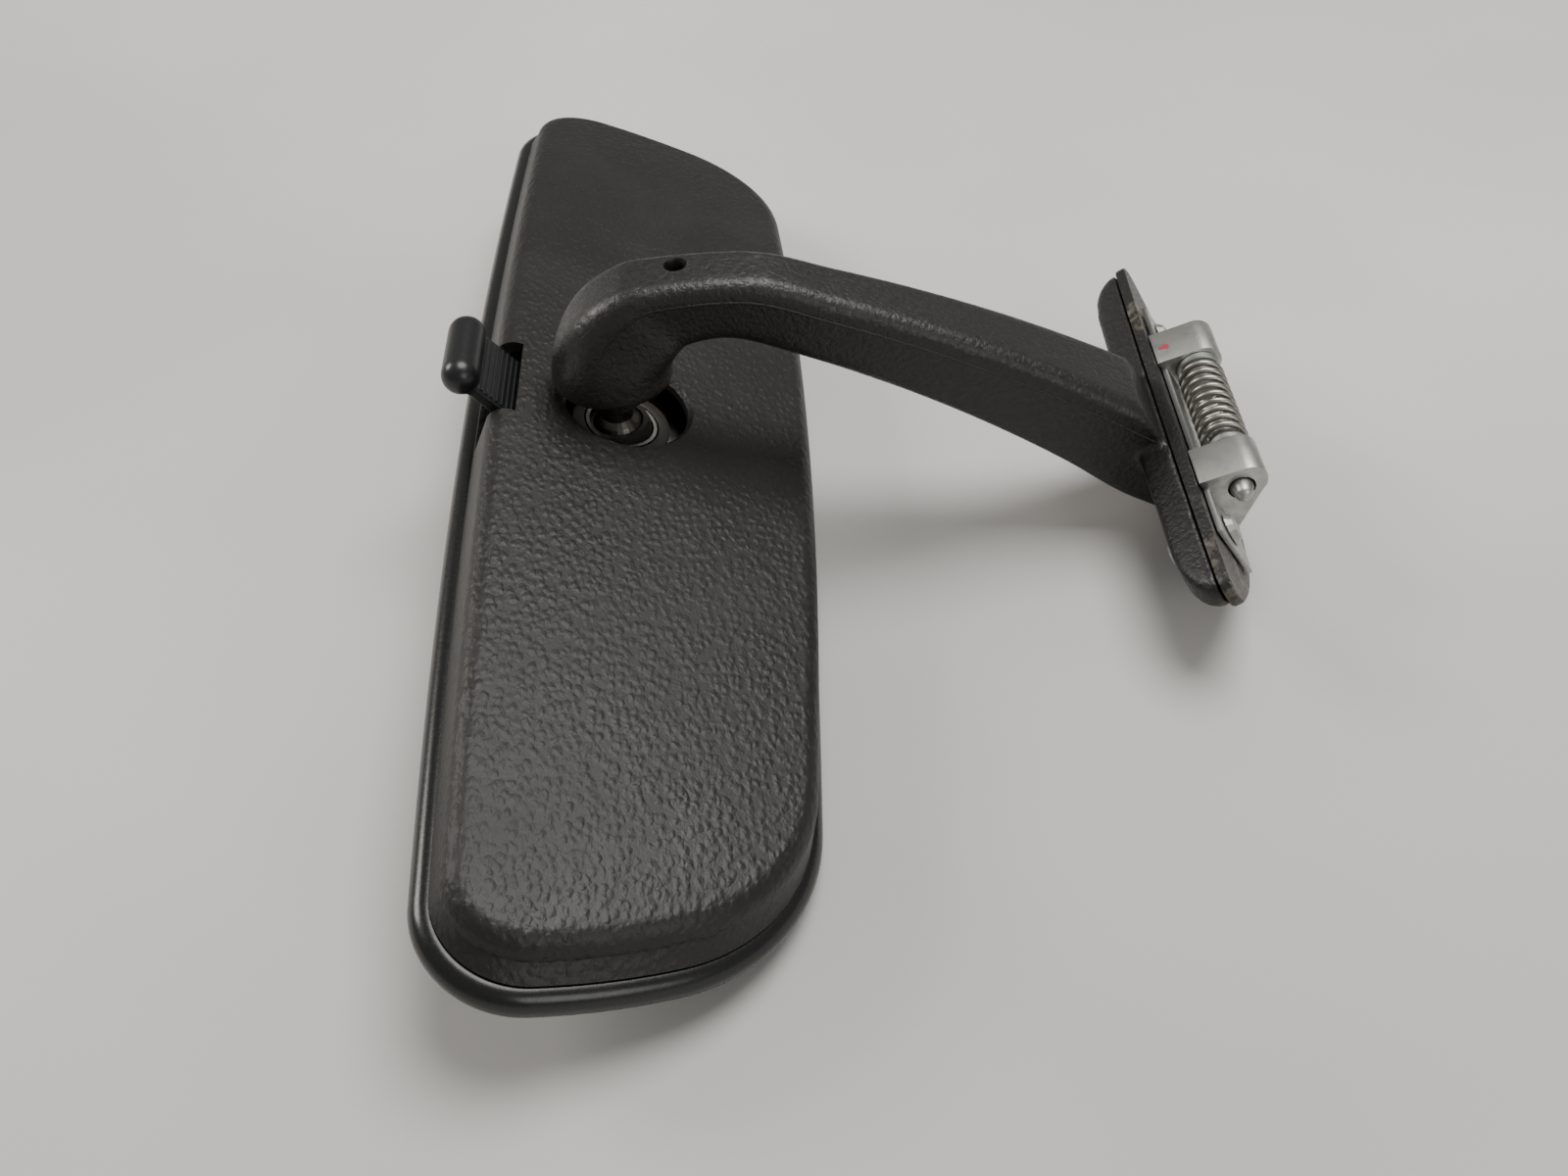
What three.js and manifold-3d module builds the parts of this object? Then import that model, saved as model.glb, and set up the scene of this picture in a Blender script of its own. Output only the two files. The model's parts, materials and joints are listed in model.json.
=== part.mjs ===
// Interior rearview mirror lying face down, as it comes off a car: mirror head with day/night lever,
// ball stud, cast arm with a half-moon foot, and a sprung-pin bracket that snaps into the roof.
// Millimetres, +Z up, the mirror's length along +Y, origin at the centre of the bottom.
import * as THREE from 'three';
import { mergeVertices } from 'three/addons/utils/BufferGeometryUtils.js';
import Module from 'manifold-3d';

const wasm = await Module();
wasm.setup();

// ---- fits ----
const GAP = 0.3; // between two pieces that touch
const RUN = 0.4; // between a pin and its bore

// ---- mirror head, in its own frame: x along the length, y toward the lever edge, z out of the back ----
const HEAD_LEAN = THREE.MathUtils.degToRad(17.4); // the lever edge lies high
const HALF_LENGTH_LEVER = 119; // to the square corner on the lever edge
const HALF_LENGTH_ROOF = 101; // to the square corner on the roof edge
const HALF_HEIGHT_LEVER = 29.7; // middle line to the lever corners
const HALF_HEIGHT_ROOF = 31;
const BOW_LEVER = 3.8;
const BOW_ROOF = 3.1;
const BOW_END = 4.4;
const CORNER_LEVER = 16;
const CORNER_ROOF = 35;

const BEAD_RADIUS = 3;
const LIP_DEPTH = 3.3; // front lip below the bead's middle plane
const LIP_INSET = 6.5;
const LIP_THICKNESS = 1.4;
const GLASS_POCKET = 4.6; // outline to the wall that holds the glass

const WALL = 2;
const SHELL_SEAT = 2.6; // outline to the shell's outer foot
const FACE_EDGE = 3.5; // rounding where the wall meets the back
const WALL_INSET_END = 5.0;
const WALL_INSET_LONG = 3.6;
const BACK_AT_ENDS = 8.2;
const BACK_CROWN = 7.5;

const GLASS_THIN = 2.4;
const GLASS_THICK = 4.8;
const PAD_THICKNESS = 0.5;
const PAD_INSET = 9;

// ---- ball joint ----
const BALL_RADIUS = 5;
const BALL_Y = 5.3; // from the middle of the head toward the lever
const BALL_Z = 8.8;
const SEAT_THICKNESS = 0.8;
const SPRING_CUP_THICKNESS = 0.6;
const CUP_OUTER = 9.2;
const CUP_RISE = 1.9; // cup above the ball's centre
const CUP_FLANGE_X = 17;
const CUP_FLANGE_Y = 9;
const CUP_FLANGE_THICKNESS = 1.2;
const CUP_RIVET_X = 14;
const CUP_RIVET_HEAD = 2.4;
const CUP_RIVET_HEAD_HEIGHT = 0.7;
const SEAT_OPENING = THREE.MathUtils.degToRad(66); // from the pole to the seat's edge
const HOLE_RADIUS = 11.6;
const HOLE_BEVEL = 0.8;

const NECK_RADIUS = 3;
const NECK_LENGTH = 8;
const COLLAR_RADIUS = 5.5;
const COLLAR_HEIGHT = 2.2;
const COLLAR_CHAMFER = 0.3;
const SHANK_RADIUS = 4.2;
const SHANK_CHAMFER = 0.6;

// ---- day/night mechanism ----
const ROD_Y = -20;
const ROD_Z = 7.2;
const ROD_RADIUS = 1.4;
const ROD_HALF = 37;
const KNUCKLE_RADIUS = 3;
const KNUCKLE_X = 22;
const KNUCKLE_HALF = 4;
const POST_X = 32;
const POST_HALF = 2.5;
const ROD_BEARING = 3; // bore to the edge of its post
const PLATE_HALF = 26;
const PLATE_ROOF = -15;
const PLATE_LEVER = 15.5;
const PLATE_THICKNESS = 1.2;
const PLATE_Z = 5;

const NOTCH_X = 1.2; // middle of the notch and the lever along the head
const NOTCH_HALF = 9.8;
const NOTCH_Y = 25.2;
const NOTCH_Z = 4.5;
const LEVER_Y = 20;
const LEVER_Z = 8.2;
const LEVER_RISE = THREE.MathUtils.degToRad(32); // out of the head's plane
const LEVER_REACH = 18.4;
const LEVER_WEB = 2;
const WEB_HALF = 8.2;
const LEVER_HUB = 2.2;
const LEVER_PIN = 1.1;
const GRIP_RADIUS = 3.4;
const GRIP_LENGTH = 18.8;
const HUB_HALF = 11; // the hub reaches past the notch to both ears
const EAR_WALL = 2.6;
const LEVER_BEARING = 2.4; // bore to the edge of its ear
const LEAF_SPRING = [21.4, 5, 0.5]; // length, width, thickness
const LEAF_OFFSET = 1.2; // from the lever's pin toward the roof edge

// ---- arm ----
const LIP_RADIUS = 11;
const LIP_HEIGHT = 12.9; // above the ball's centre
const LIP_BORE = 9.2;
const LIP_BORE_DEPTH = 6;
const SHANK_BORE_DEPTH = 12.5;
const ELBOW_RADIUS = 21.8;
const ELBOW_INNER = 6.5;
const ELBOW_RUN = 3.5; // straight part of the inner side before it turns
const ARM_START = [24.4, 16.2]; // end of the elbow from the lip's centre: along, up
const ARM_REACH = 103; // ball to the foot's upper edge
const ARM_BOW = 3;
const ARM_HEIGHT = [6.3, 9];
const ARM_WIDTH = [6.3, 10];
const ARM_EDGE = 3;
const ARM_END_SCALE = [0.85, 1.25]; // height and width inside the foot
const ARM_SEAT = 3.6; // foot's upper edge down to the arm's middle line
const DIMPLE_RADIUS = 1.7;
const DIMPLE_BOTTOM = 18.8; // above the lip
const DIMPLE_X = 12.6;
const DIMPLE_Y = 1.5;

// ---- foot, in its own frame: x along its length, y up its face, z out of the face ----
const FOOT_FACE = THREE.MathUtils.degToRad(34); // how far the face looks up
const FOOT_HALF = 48;
const FOOT_DEPTH = 25.8;
const FOOT_BOW = 1.2;
const FOOT_TIP = 3.4;
const BASE_PLATE = 2;
const SLAB_THICKNESS = 6;
const SLAB_MARGIN = 0.9;
const SLAB_DRAFT = 3.6; // how much shallower the slab's back is
const SLAB_DRAFT_END = 10; // and how much shorter at each tip

const EAR_OUTER = 22;
const EAR_INNER = 13;
const BRACKET_BASE = 0.9;
const BRACKET_HALF = 33;
const BRACKET_UPPER = -2;
const BRACKET_LOWER = -15;
const EAR_UPPER = -0.2;
const EAR_LOWER = -14.6;
const EAR_LOWER_RISE = 1.2; // height of the ear's low end
const EAR_NOSE = [-5.3, 7.7]; // middle of the ear's rounded top
const EAR_NOSE_RADIUS = 3.4;
const EAR_NOSE_TURN = [0.1, 0.86 * Math.PI];
const PIN_Y = -5.8;
const PIN_Z = 6.1;
const PIN_RADIUS = 2.1;
const PIN_TIP = 1.7;
const PIN_TIP_END = 1.1;
const PIN_TIP_LENGTH = 0.7;
const PIN_STEM_OUT = 0.4; // straight stem beyond the ear
const PIN_OUT = 2.9; // beyond the ear
const PIN_HEAD = 4.1;
const PIN_HEAD_THICKNESS = 1.5;
const PIN_GUIDE = 2.6;
const PIN_GUIDE_LENGTH = 5.5;
const COIL_RADIUS = 3.75; // to the wire's middle
const COIL_WIRE = 0.6; // wire radius
const COIL_TURNS = 9;
const RIVET_X = 28.5;
const RIVET_Y = -7.5;
const RIVET_RADIUS = 1.8;
const RIVET_HEAD = 3.2;
const RIVET_HEAD_HEIGHT = 1.1;

const COLORS = {
  shell: 0x17181a,
  bezel: 0x101112,
  glass: 0xc9d2d8,
  pad: 0x6d6a63,
  casting: 0x1c1c1d,
  zinc: 0xb9bcc0,
  steel: 0x8d9094,
  acetal: 0x3d3a35,
  spring: 0x6f7276,
};

// ---- solids ----

/** A closed BufferGeometry from points and triangles, turned to face outward. */
function closedGeometry(points, triangles) {
  let volume = 0;
  for (const [a, b, c] of triangles) {
    volume += points[a].dot(points[b].clone().cross(points[c]));
  }
  const faces = volume < 0 ? triangles.map(([a, b, c]) => [a, c, b]) : triangles;
  const geometry = new THREE.BufferGeometry();
  const numbers = points.flatMap((point) => point.toArray());
  geometry.setAttribute('position', new THREE.Float32BufferAttribute(numbers, 3));
  geometry.setIndex(faces.flat());
  return geometry;
}

/** Triangles that close a ring of n points, from its first point across to its last. */
function capTriangles(n, first) {
  const triangles = [];
  let a = 0;
  let b = n - 1;
  while (b - a > 1) {
    triangles.push([first + a, first + a + 1, first + b]);
    a += 1;
    if (b - a > 1) {
      triangles.push([first + a, first + b - 1, first + b]);
      b -= 1;
    }
  }
  return triangles;
}

/** Skins rings that hold the same number of points and closes both ends. */
function loft(rings) {
  const n = rings[0].length;
  const triangles = [];
  for (let k = 0; k < rings.length - 1; k += 1) {
    for (let i = 0; i < n; i += 1) {
      const j = (i + 1) % n;
      triangles.push([k * n + i, k * n + j, (k + 1) * n + j]);
      triangles.push([k * n + i, (k + 1) * n + j, (k + 1) * n + i]);
    }
  }
  for (const [a, b, c] of capTriangles(n, 0)) {
    triangles.push([a, c, b]);
  }
  triangles.push(...capTriangles(n, (rings.length - 1) * n));
  return closedGeometry(rings.flat(), triangles);
}

/** Skins rings into a hoop: the last ring joins the first. */
function hoop(rings) {
  const n = rings[0].length;
  const triangles = [];
  rings.forEach((_, k) => {
    const next = (k + 1) % rings.length;
    for (let i = 0; i < n; i += 1) {
      const j = (i + 1) % n;
      triangles.push([k * n + i, k * n + j, next * n + j]);
      triangles.push([k * n + i, next * n + j, next * n + i]);
    }
  });
  return closedGeometry(rings.flat(), triangles);
}

/** A manifold-3d solid from a closed geometry. */
function solid(geometry) {
  const bare = geometry.clone();
  bare.deleteAttribute('normal');
  bare.deleteAttribute('uv');
  const merged = mergeVertices(bare, 1e-4);
  const mesh = new wasm.Mesh({
    numProp: 3,
    vertProperties: new Float32Array(merged.attributes.position.array),
    triVerts: new Uint32Array(merged.index.array),
  });
  return new wasm.Manifold(mesh);
}

/** The BufferGeometry of a manifold-3d solid. */
function geometryOf(manifold) {
  const mesh = manifold.getMesh();
  const geometry = new THREE.BufferGeometry();
  geometry.setAttribute('position', new THREE.Float32BufferAttribute(mesh.vertProperties, 3));
  geometry.setIndex(Array.from(mesh.triVerts));
  return geometry;
}

/** A box between two corners. */
function box(from, to) {
  const size = to.map((value, i) => value - from[i]);
  const geometry = new THREE.BoxGeometry(...size);
  return geometry.translate(...from.map((value, i) => value + size[i] / 2));
}

/** A round bar along z, from z0 to z1, that may taper. */
function barZ(radius, z0, z1, radiusTop = radius, sides = 32) {
  const geometry = new THREE.CylinderGeometry(radiusTop, radius, z1 - z0, sides);
  return geometry.rotateX(Math.PI / 2).translate(0, 0, (z0 + z1) / 2);
}

/** A round bar along x, from x0 to x1, that may taper. */
function barX(radius, x0, x1, radiusEnd = radius, sides = 24) {
  return barZ(radius, x0, x1, radiusEnd, sides).rotateY(Math.PI / 2);
}

/** Turns a profile of [radius, z] around z. */
function turned(profile, sides = 24) {
  const geometry = new THREE.LatheGeometry(profile.map(([r, z]) => new THREE.Vector2(r, z)), sides);
  return geometry.rotateX(Math.PI / 2);
}

const root = new THREE.Group();

/** Adds one named piece to a group. */
function piece(group, name, geometry, color, roughness, metalness, at = [0, 0, 0]) {
  const normals = mergeVertices(geometry.clone().deleteAttribute('uv').deleteAttribute('normal'), 1e-4);
  const faceted = normals.toNonIndexed();
  faceted.computeVertexNormals();
  const material = new THREE.MeshStandardMaterial({ color, roughness, metalness });
  const mesh = new THREE.Mesh(faceted, material);
  mesh.name = name;
  mesh.position.set(...at);
  group.add(mesh);
}

/** A group whose x, y and z axes and origin are given in the parent's frame. */
function framed(x, y, z, origin) {
  const group = new THREE.Group();
  group.applyMatrix4(new THREE.Matrix4().makeBasis(x, y, z).setPosition(origin));
  root.add(group);
  return group;
}

// ---- head outline ----

/** The circle through two corners that bulges outward by bow. */
function sideCircle(from, to, bow) {
  const chord = to.clone().sub(from);
  const radius = (chord.lengthSq() / 4 + bow * bow) / (2 * bow);
  const outward = new THREE.Vector2(chord.y, -chord.x).normalize();
  const middle = from.clone().add(to).multiplyScalar(0.5);
  return { center: middle.addScaledVector(outward, bow - radius), radius };
}

/** The centre of a rounding that touches two circles from inside, near a corner. */
function roundingCenter(one, two, radius, corner) {
  const r1 = one.radius - radius;
  const r2 = two.radius - radius;
  const across = two.center.clone().sub(one.center);
  const d = across.length();
  const along = (r1 * r1 - r2 * r2 + d * d) / (2 * d);
  const up = Math.sqrt(r1 * r1 - along * along);
  const unit = across.clone().normalize();
  const foot = one.center.clone().addScaledVector(unit, along);
  const side = new THREE.Vector2(-unit.y, unit.x);
  const options = [up, -up].map((h) => foot.clone().addScaledVector(side, h));
  options.sort((a, b) => a.distanceTo(corner) - b.distanceTo(corner));
  return options[0];
}

/** Points of the head's outline with their outward normals, from the middle of the +x end. */
function headOutline() {
  const corners = [
    new THREE.Vector2(HALF_LENGTH_ROOF, -HALF_HEIGHT_ROOF),
    new THREE.Vector2(HALF_LENGTH_LEVER, HALF_HEIGHT_LEVER),
    new THREE.Vector2(-HALF_LENGTH_LEVER, HALF_HEIGHT_LEVER),
    new THREE.Vector2(-HALF_LENGTH_ROOF, -HALF_HEIGHT_ROOF),
  ];
  const bows = [BOW_END, BOW_LEVER, BOW_END, BOW_ROOF];
  const rounds = [CORNER_ROOF, CORNER_LEVER, CORNER_LEVER, CORNER_ROOF];
  const steps = [4, 15, 4, 15];
  const cornerSteps = 7;
  const sides = corners.map((corner, i) => sideCircle(corner, corners[(i + 1) % 4], bows[i]));
  const centers = corners.map((corner, i) => {
    return roundingCenter(sides[(i + 3) % 4], sides[i], rounds[i], corner);
  });
  const angle = (from, to) => Math.atan2(to.y - from.y, to.x - from.x);
  const samples = [];
  const arc = (center, radius, from, to, count) => {
    const sweep = THREE.MathUtils.euclideanModulo(to - from + Math.PI, 2 * Math.PI) - Math.PI;
    for (let k = 0; k < count; k += 1) {
      const at = from + (sweep * k) / count;
      const normal = new THREE.Vector2(Math.cos(at), Math.sin(at));
      samples.push({ point: center.clone().addScaledVector(normal, radius), normal });
    }
  };
  for (let i = 0; i < 4; i += 1) {
    const next = (i + 1) % 4;
    const side = sides[i];
    const start = angle(side.center, centers[i]);
    const end = angle(side.center, centers[next]);
    const after = angle(sides[next].center, centers[next]);
    arc(side.center, side.radius, start, end, steps[i]);
    arc(centers[next], rounds[next], end, after, cornerSteps);
  }
  const half = steps[0] / 2;
  return [...samples.slice(half), ...samples.slice(0, half)];
}

const OUTLINE = headOutline();

/** How far one ring lies inside the outline where its normal points along x or y. */
function insetAt(inset, normal) {
  const long = normal.y ** 2;
  return inset.end * (1 - long) + inset.long * long;
}

/** A ring inside the outline; height is a number or a function of x and y. */
function headRing(inset, height) {
  const by = typeof inset === 'number' ? { end: inset, long: inset } : inset;
  return OUTLINE.map(({ point, normal }) => {
    const at = point.clone().addScaledVector(normal, -insetAt(by, normal));
    const z = typeof height === 'number' ? height : height(at.x, at.y);
    return new THREE.Vector3(at.x, at.y, z);
  });
}

/** Height of the back at a place along the length. */
function backHeight(x) {
  return BACK_AT_ENDS + BACK_CROWN * (1 - (x / HALF_LENGTH_LEVER) ** 2);
}

const SHELL_FOOT = BEAD_RADIUS + GAP;

/** The shell's outer form, or its inner form when offset is the wall. */
function shellForm(offset, foot) {
  const wall = { end: WALL_INSET_END + offset, long: WALL_INSET_LONG + offset };
  const rounding = Math.max(FACE_EDGE - offset / 2, 1);
  const rings = [headRing(SHELL_SEAT + offset, foot)];
  for (let k = 0; k <= 3; k += 1) {
    const turn = (k / 3) * (Math.PI / 2);
    const inward = rounding * (1 - Math.cos(turn));
    const drop = rounding * (1 - Math.sin(turn)) + offset;
    const inset = { end: wall.end + inward, long: wall.long + inward };
    rings.push(headRing(inset, (x) => backHeight(x) - drop));
  }
  return loft(rings);
}

// ---- head pieces ----

function buildShell() {
  const middle = backHeight(0);
  const post = (x, half, y, z, edge) => {
    return box([x - half, y - edge, z - edge], [x + half, y + edge, middle - WALL / 2]);
  };
  let shell = solid(shellForm(0, SHELL_FOOT)).subtract(solid(shellForm(WALL, SHELL_FOOT - WALL)));
  const bearings = [-1, 1].flatMap((side) => [
    post(side * POST_X, POST_HALF, ROD_Y, ROD_Z, ROD_BEARING),
    post(side * (HUB_HALF + RUN + EAR_WALL / 2), EAR_WALL / 2, LEVER_Y, LEVER_Z, LEVER_BEARING),
  ]);
  for (const bearing of bearings) {
    shell = shell.add(solid(bearing));
  }
  const rodHole = barX(ROD_RADIUS + RUN, -ROD_HALF - 1, ROD_HALF + 1).translate(0, ROD_Y, ROD_Z);
  const pinReach = HUB_HALF + EAR_WALL + 2 * RUN + 1;
  const pinHole = barX(LEVER_PIN + RUN, -pinReach, pinReach).translate(0, LEVER_Y, LEVER_Z);
  const ballHole = barZ(HOLE_RADIUS, middle - 8, middle + 2, HOLE_RADIUS, 48).translate(0, BALL_Y, 0);
  const flare = HOLE_RADIUS + 2 * HOLE_BEVEL;
  const bevel = barZ(HOLE_RADIUS, middle - HOLE_BEVEL, middle + HOLE_BEVEL, flare, 48);
  const notch = box(
    [NOTCH_X - NOTCH_HALF, NOTCH_Y, NOTCH_Z],
    [NOTCH_X + NOTCH_HALF, 2 * HALF_HEIGHT_LEVER, 2 * middle],
  );
  for (const cut of [rodHole, pinHole, ballHole, bevel.translate(0, BALL_Y, 0), notch]) {
    shell = shell.subtract(solid(cut));
  }
  return geometryOf(shell);
}

function buildBezel() {
  const profile = [];
  for (let k = 0; k <= 6; k += 1) {
    const turn = Math.PI / 2 + (k / 6) * Math.PI;
    profile.push([BEAD_RADIUS + BEAD_RADIUS * Math.cos(turn), BEAD_RADIUS * Math.sin(turn)]);
  }
  profile.push([GLASS_POCKET + 0.4, -LIP_DEPTH]);
  profile.push([LIP_INSET, -LIP_DEPTH]);
  profile.push([LIP_INSET, LIP_THICKNESS - LIP_DEPTH]);
  profile.push([GLASS_POCKET, LIP_THICKNESS - LIP_DEPTH]);
  profile.push([GLASS_POCKET, BEAD_RADIUS]);
  return hoop(profile.map(([inset, z]) => headRing(inset, z)));
}

const GLASS_FRONT = LIP_THICKNESS - LIP_DEPTH + GAP;
const GLASS_INSET = GLASS_POCKET + GAP;

/** Height of the glass's back: a wedge, thick at the roof edge. */
function glassBack(y) {
  const share = (HALF_HEIGHT_LEVER - y) / (HALF_HEIGHT_LEVER + HALF_HEIGHT_ROOF);
  return GLASS_FRONT + THREE.MathUtils.lerp(GLASS_THIN, GLASS_THICK, share);
}

function buildGlass() {
  return loft([headRing(GLASS_INSET, GLASS_FRONT), headRing(GLASS_INSET, (x, y) => glassBack(y))]);
}

function buildPad() {
  const bottom = headRing(PAD_INSET, (x, y) => glassBack(y) + GAP);
  const top = headRing(PAD_INSET, (x, y) => glassBack(y) + GAP + PAD_THICKNESS);
  return loft([bottom, top]);
}

/** Part of a hollow ball between two heights, open above and below. */
function ballBand(inner, outer, low, high) {
  const steps = 4;
  const along = (radius) => {
    const profile = [];
    for (let k = 0; k <= steps; k += 1) {
      const z = THREE.MathUtils.lerp(low, high, k / steps);
      profile.push([Math.sqrt(radius ** 2 - z ** 2), z]);
    }
    return profile;
  };
  const skin = along(outer);
  return turned([...skin, ...along(inner).reverse(), skin[0]]);
}

const SEAT_INNER = BALL_RADIUS + GAP;
const SEAT_OUTER = SEAT_INNER + SEAT_THICKNESS;
const SPRING_CUP_INNER = SEAT_OUTER + GAP;
const SPRING_CUP_OUTER = SPRING_CUP_INNER + SPRING_CUP_THICKNESS;
const CUP_INNER = SPRING_CUP_OUTER + GAP;

function buildCup() {
  const flangeTop = PLATE_Z + PLATE_THICKNESS + GAP + CUP_FLANGE_THICKNESS - BALL_Z;
  const flangeLow = flangeTop - CUP_FLANGE_THICKNESS;
  const flange = box([-CUP_FLANGE_X, -CUP_FLANGE_Y, flangeLow], [CUP_FLANGE_X, CUP_FLANGE_Y, flangeTop]);
  let cup = solid(barZ(CUP_OUTER, flangeLow, CUP_RISE, CUP_OUTER, 48)).add(solid(flange));
  cup = cup.subtract(solid(new THREE.SphereGeometry(CUP_INNER, 28, 18).rotateX(Math.PI / 2)));
  for (const side of [-1, 1]) {
    const hole = barZ(RIVET_RADIUS, flangeLow - 1, flangeTop + 1).translate(side * CUP_RIVET_X, 0, 0);
    cup = cup.subtract(solid(hole));
  }
  return geometryOf(cup);
}

/** A rivet or screw along z between two faces, with a head on each. */
function buildRivet(radius, head, headHeight, low, high) {
  const profile = [
    [0, low - GAP - headHeight],
    [head * 0.7, low - GAP - headHeight],
    [head, low - GAP],
    [radius, low - GAP],
    [radius, high + GAP],
    [head, high + GAP],
    [head * 0.7, high + GAP + headHeight],
    [0, high + GAP + headHeight],
  ];
  return turned(profile, 14);
}

function buildPivotPlate() {
  const top = PLATE_Z + PLATE_THICKNESS;
  let plate = solid(box([-PLATE_HALF, PLATE_ROOF, PLATE_Z], [PLATE_HALF, PLATE_LEVER, top]));
  for (const side of [-1, 1]) {
    const x0 = side * KNUCKLE_X - KNUCKLE_HALF;
    const x1 = side * KNUCKLE_X + KNUCKLE_HALF;
    plate = plate.add(solid(box([x0, ROD_Y, PLATE_Z], [x1, PLATE_ROOF + 1, top])));
    plate = plate.add(solid(barX(KNUCKLE_RADIUS, x0, x1).translate(0, ROD_Y, ROD_Z)));
  }
  const rod = barX(ROD_RADIUS + RUN, -ROD_HALF, ROD_HALF).translate(0, ROD_Y, ROD_Z);
  const ballRoom = barZ(CUP_INNER + GAP, PLATE_Z - 1, top + 1, CUP_INNER + GAP, 40).translate(0, BALL_Y, 0);
  plate = plate.subtract(solid(rod)).subtract(solid(ballRoom));
  for (const side of [-1, 1]) {
    const hole = barZ(RIVET_RADIUS, PLATE_Z - 1, top + 1).translate(side * CUP_RIVET_X, BALL_Y, 0);
    plate = plate.subtract(solid(hole));
  }
  return geometryOf(plate);
}

/** The lever about its pin: hub, web and a round-ended grip. */
function buildLever() {
  const hub = solid(barX(LEVER_HUB, -HUB_HALF, HUB_HALF));
  const webBox = box(
    [NOTCH_X - WEB_HALF, 0, -LEVER_WEB / 2],
    [NOTCH_X + WEB_HALF, LEVER_REACH, LEVER_WEB / 2],
  );
  const web = solid(webBox.rotateX(LEVER_RISE));
  const straight = GRIP_LENGTH - 2 * GRIP_RADIUS;
  const capsule = new THREE.CapsuleGeometry(GRIP_RADIUS, straight, 6, 20).rotateZ(Math.PI / 2);
  const reach = [NOTCH_X, LEVER_REACH * Math.cos(LEVER_RISE), LEVER_REACH * Math.sin(LEVER_RISE)];
  const grip = solid(capsule.translate(...reach));
  const bore = solid(barX(LEVER_PIN + RUN, -HUB_HALF - 1, HUB_HALF + 1));
  return geometryOf(hub.add(web).add(grip).subtract(bore));
}

// ---- arm pieces ----

/** A rounded rectangle of 24 points about a centre, spanned by two half-size vectors. */
function roundedSection(center, up, across, rounding) {
  const height = up.length();
  const width = across.length();
  const radius = Math.min(rounding, height, width);
  const unitUp = up.clone().normalize();
  const unitAcross = across.clone().normalize();
  const ring = [];
  for (let corner = 0; corner < 4; corner += 1) {
    const sx = corner === 0 || corner === 3 ? 1 : -1;
    const sy = corner < 2 ? 1 : -1;
    for (let k = 0; k < 6; k += 1) {
      const turn = (corner + (k + 0.5) / 6) * (Math.PI / 2);
      const a = sx * (width - radius) + radius * Math.cos(turn);
      const b = sy * (height - radius) + radius * Math.sin(turn);
      ring.push(center.clone().addScaledVector(unitAcross, a).addScaledVector(unitUp, b));
    }
  }
  return ring;
}

/** Sections of the elbow, from the lip around to the arm's straight part, about the lip's centre. */
function elbowSections() {
  const outerCenter = [ELBOW_RADIUS - LIP_RADIUS, 0];
  const innerCenter = [LIP_RADIUS + ELBOW_INNER, ELBOW_RUN];
  const stations = [
    { outer: 162, inner: 180, width: 0.92, rounding: 0.8 },
    { outer: 140, inner: 160, width: 0.8, rounding: 0.5 },
    { outer: 118, inner: 135, width: 0.7, rounding: 0.36 },
    { outer: 98, inner: 112, width: 0.61, rounding: 0.28 },
  ];
  const onCircle = (center, radius, degrees) => {
    const at = THREE.MathUtils.degToRad(degrees);
    return new THREE.Vector3(center[0] + radius * Math.cos(at), 0, center[1] + radius * Math.sin(at));
  };
  const across = new THREE.Vector3(0, LIP_RADIUS, 0);
  const lipUp = new THREE.Vector3(-LIP_RADIUS, 0, 0);
  const rings = [roundedSection(new THREE.Vector3(), lipUp, across, LIP_RADIUS)];
  for (const { outer, inner, width, rounding } of stations) {
    const a = onCircle(outerCenter, ELBOW_RADIUS, outer);
    const b = onCircle(innerCenter, ELBOW_INNER, inner);
    const center = a.clone().add(b).multiplyScalar(0.5);
    const wide = across.clone().multiplyScalar(width);
    rings.push(roundedSection(center, a.clone().sub(center), wide, LIP_RADIUS * rounding));
  }
  return rings;
}

/** Sections of the bowed arm between two points of its middle line. */
function armSections(start, end) {
  const run = end.clone().sub(start);
  const normal = new THREE.Vector3(-run.z, 0, run.x).normalize();
  const count = 6;
  const rings = [];
  for (let k = 0; k <= count; k += 1) {
    const t = k / count;
    const center = start.clone().addScaledVector(run, t).addScaledVector(normal, 4 * ARM_BOW * t * (1 - t));
    const slope = run.clone().addScaledVector(normal, 4 * ARM_BOW * (1 - 2 * t)).normalize();
    const high = THREE.MathUtils.lerp(ARM_HEIGHT[0], ARM_HEIGHT[1], t ** 1.2);
    const wide = THREE.MathUtils.lerp(ARM_WIDTH[0], ARM_WIDTH[1], t ** 1.3);
    const up = new THREE.Vector3(-slope.z, 0, slope.x).multiplyScalar(high);
    rings.push(roundedSection(center, up, new THREE.Vector3(0, wide, 0), ARM_EDGE));
  }
  return rings;
}

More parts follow.
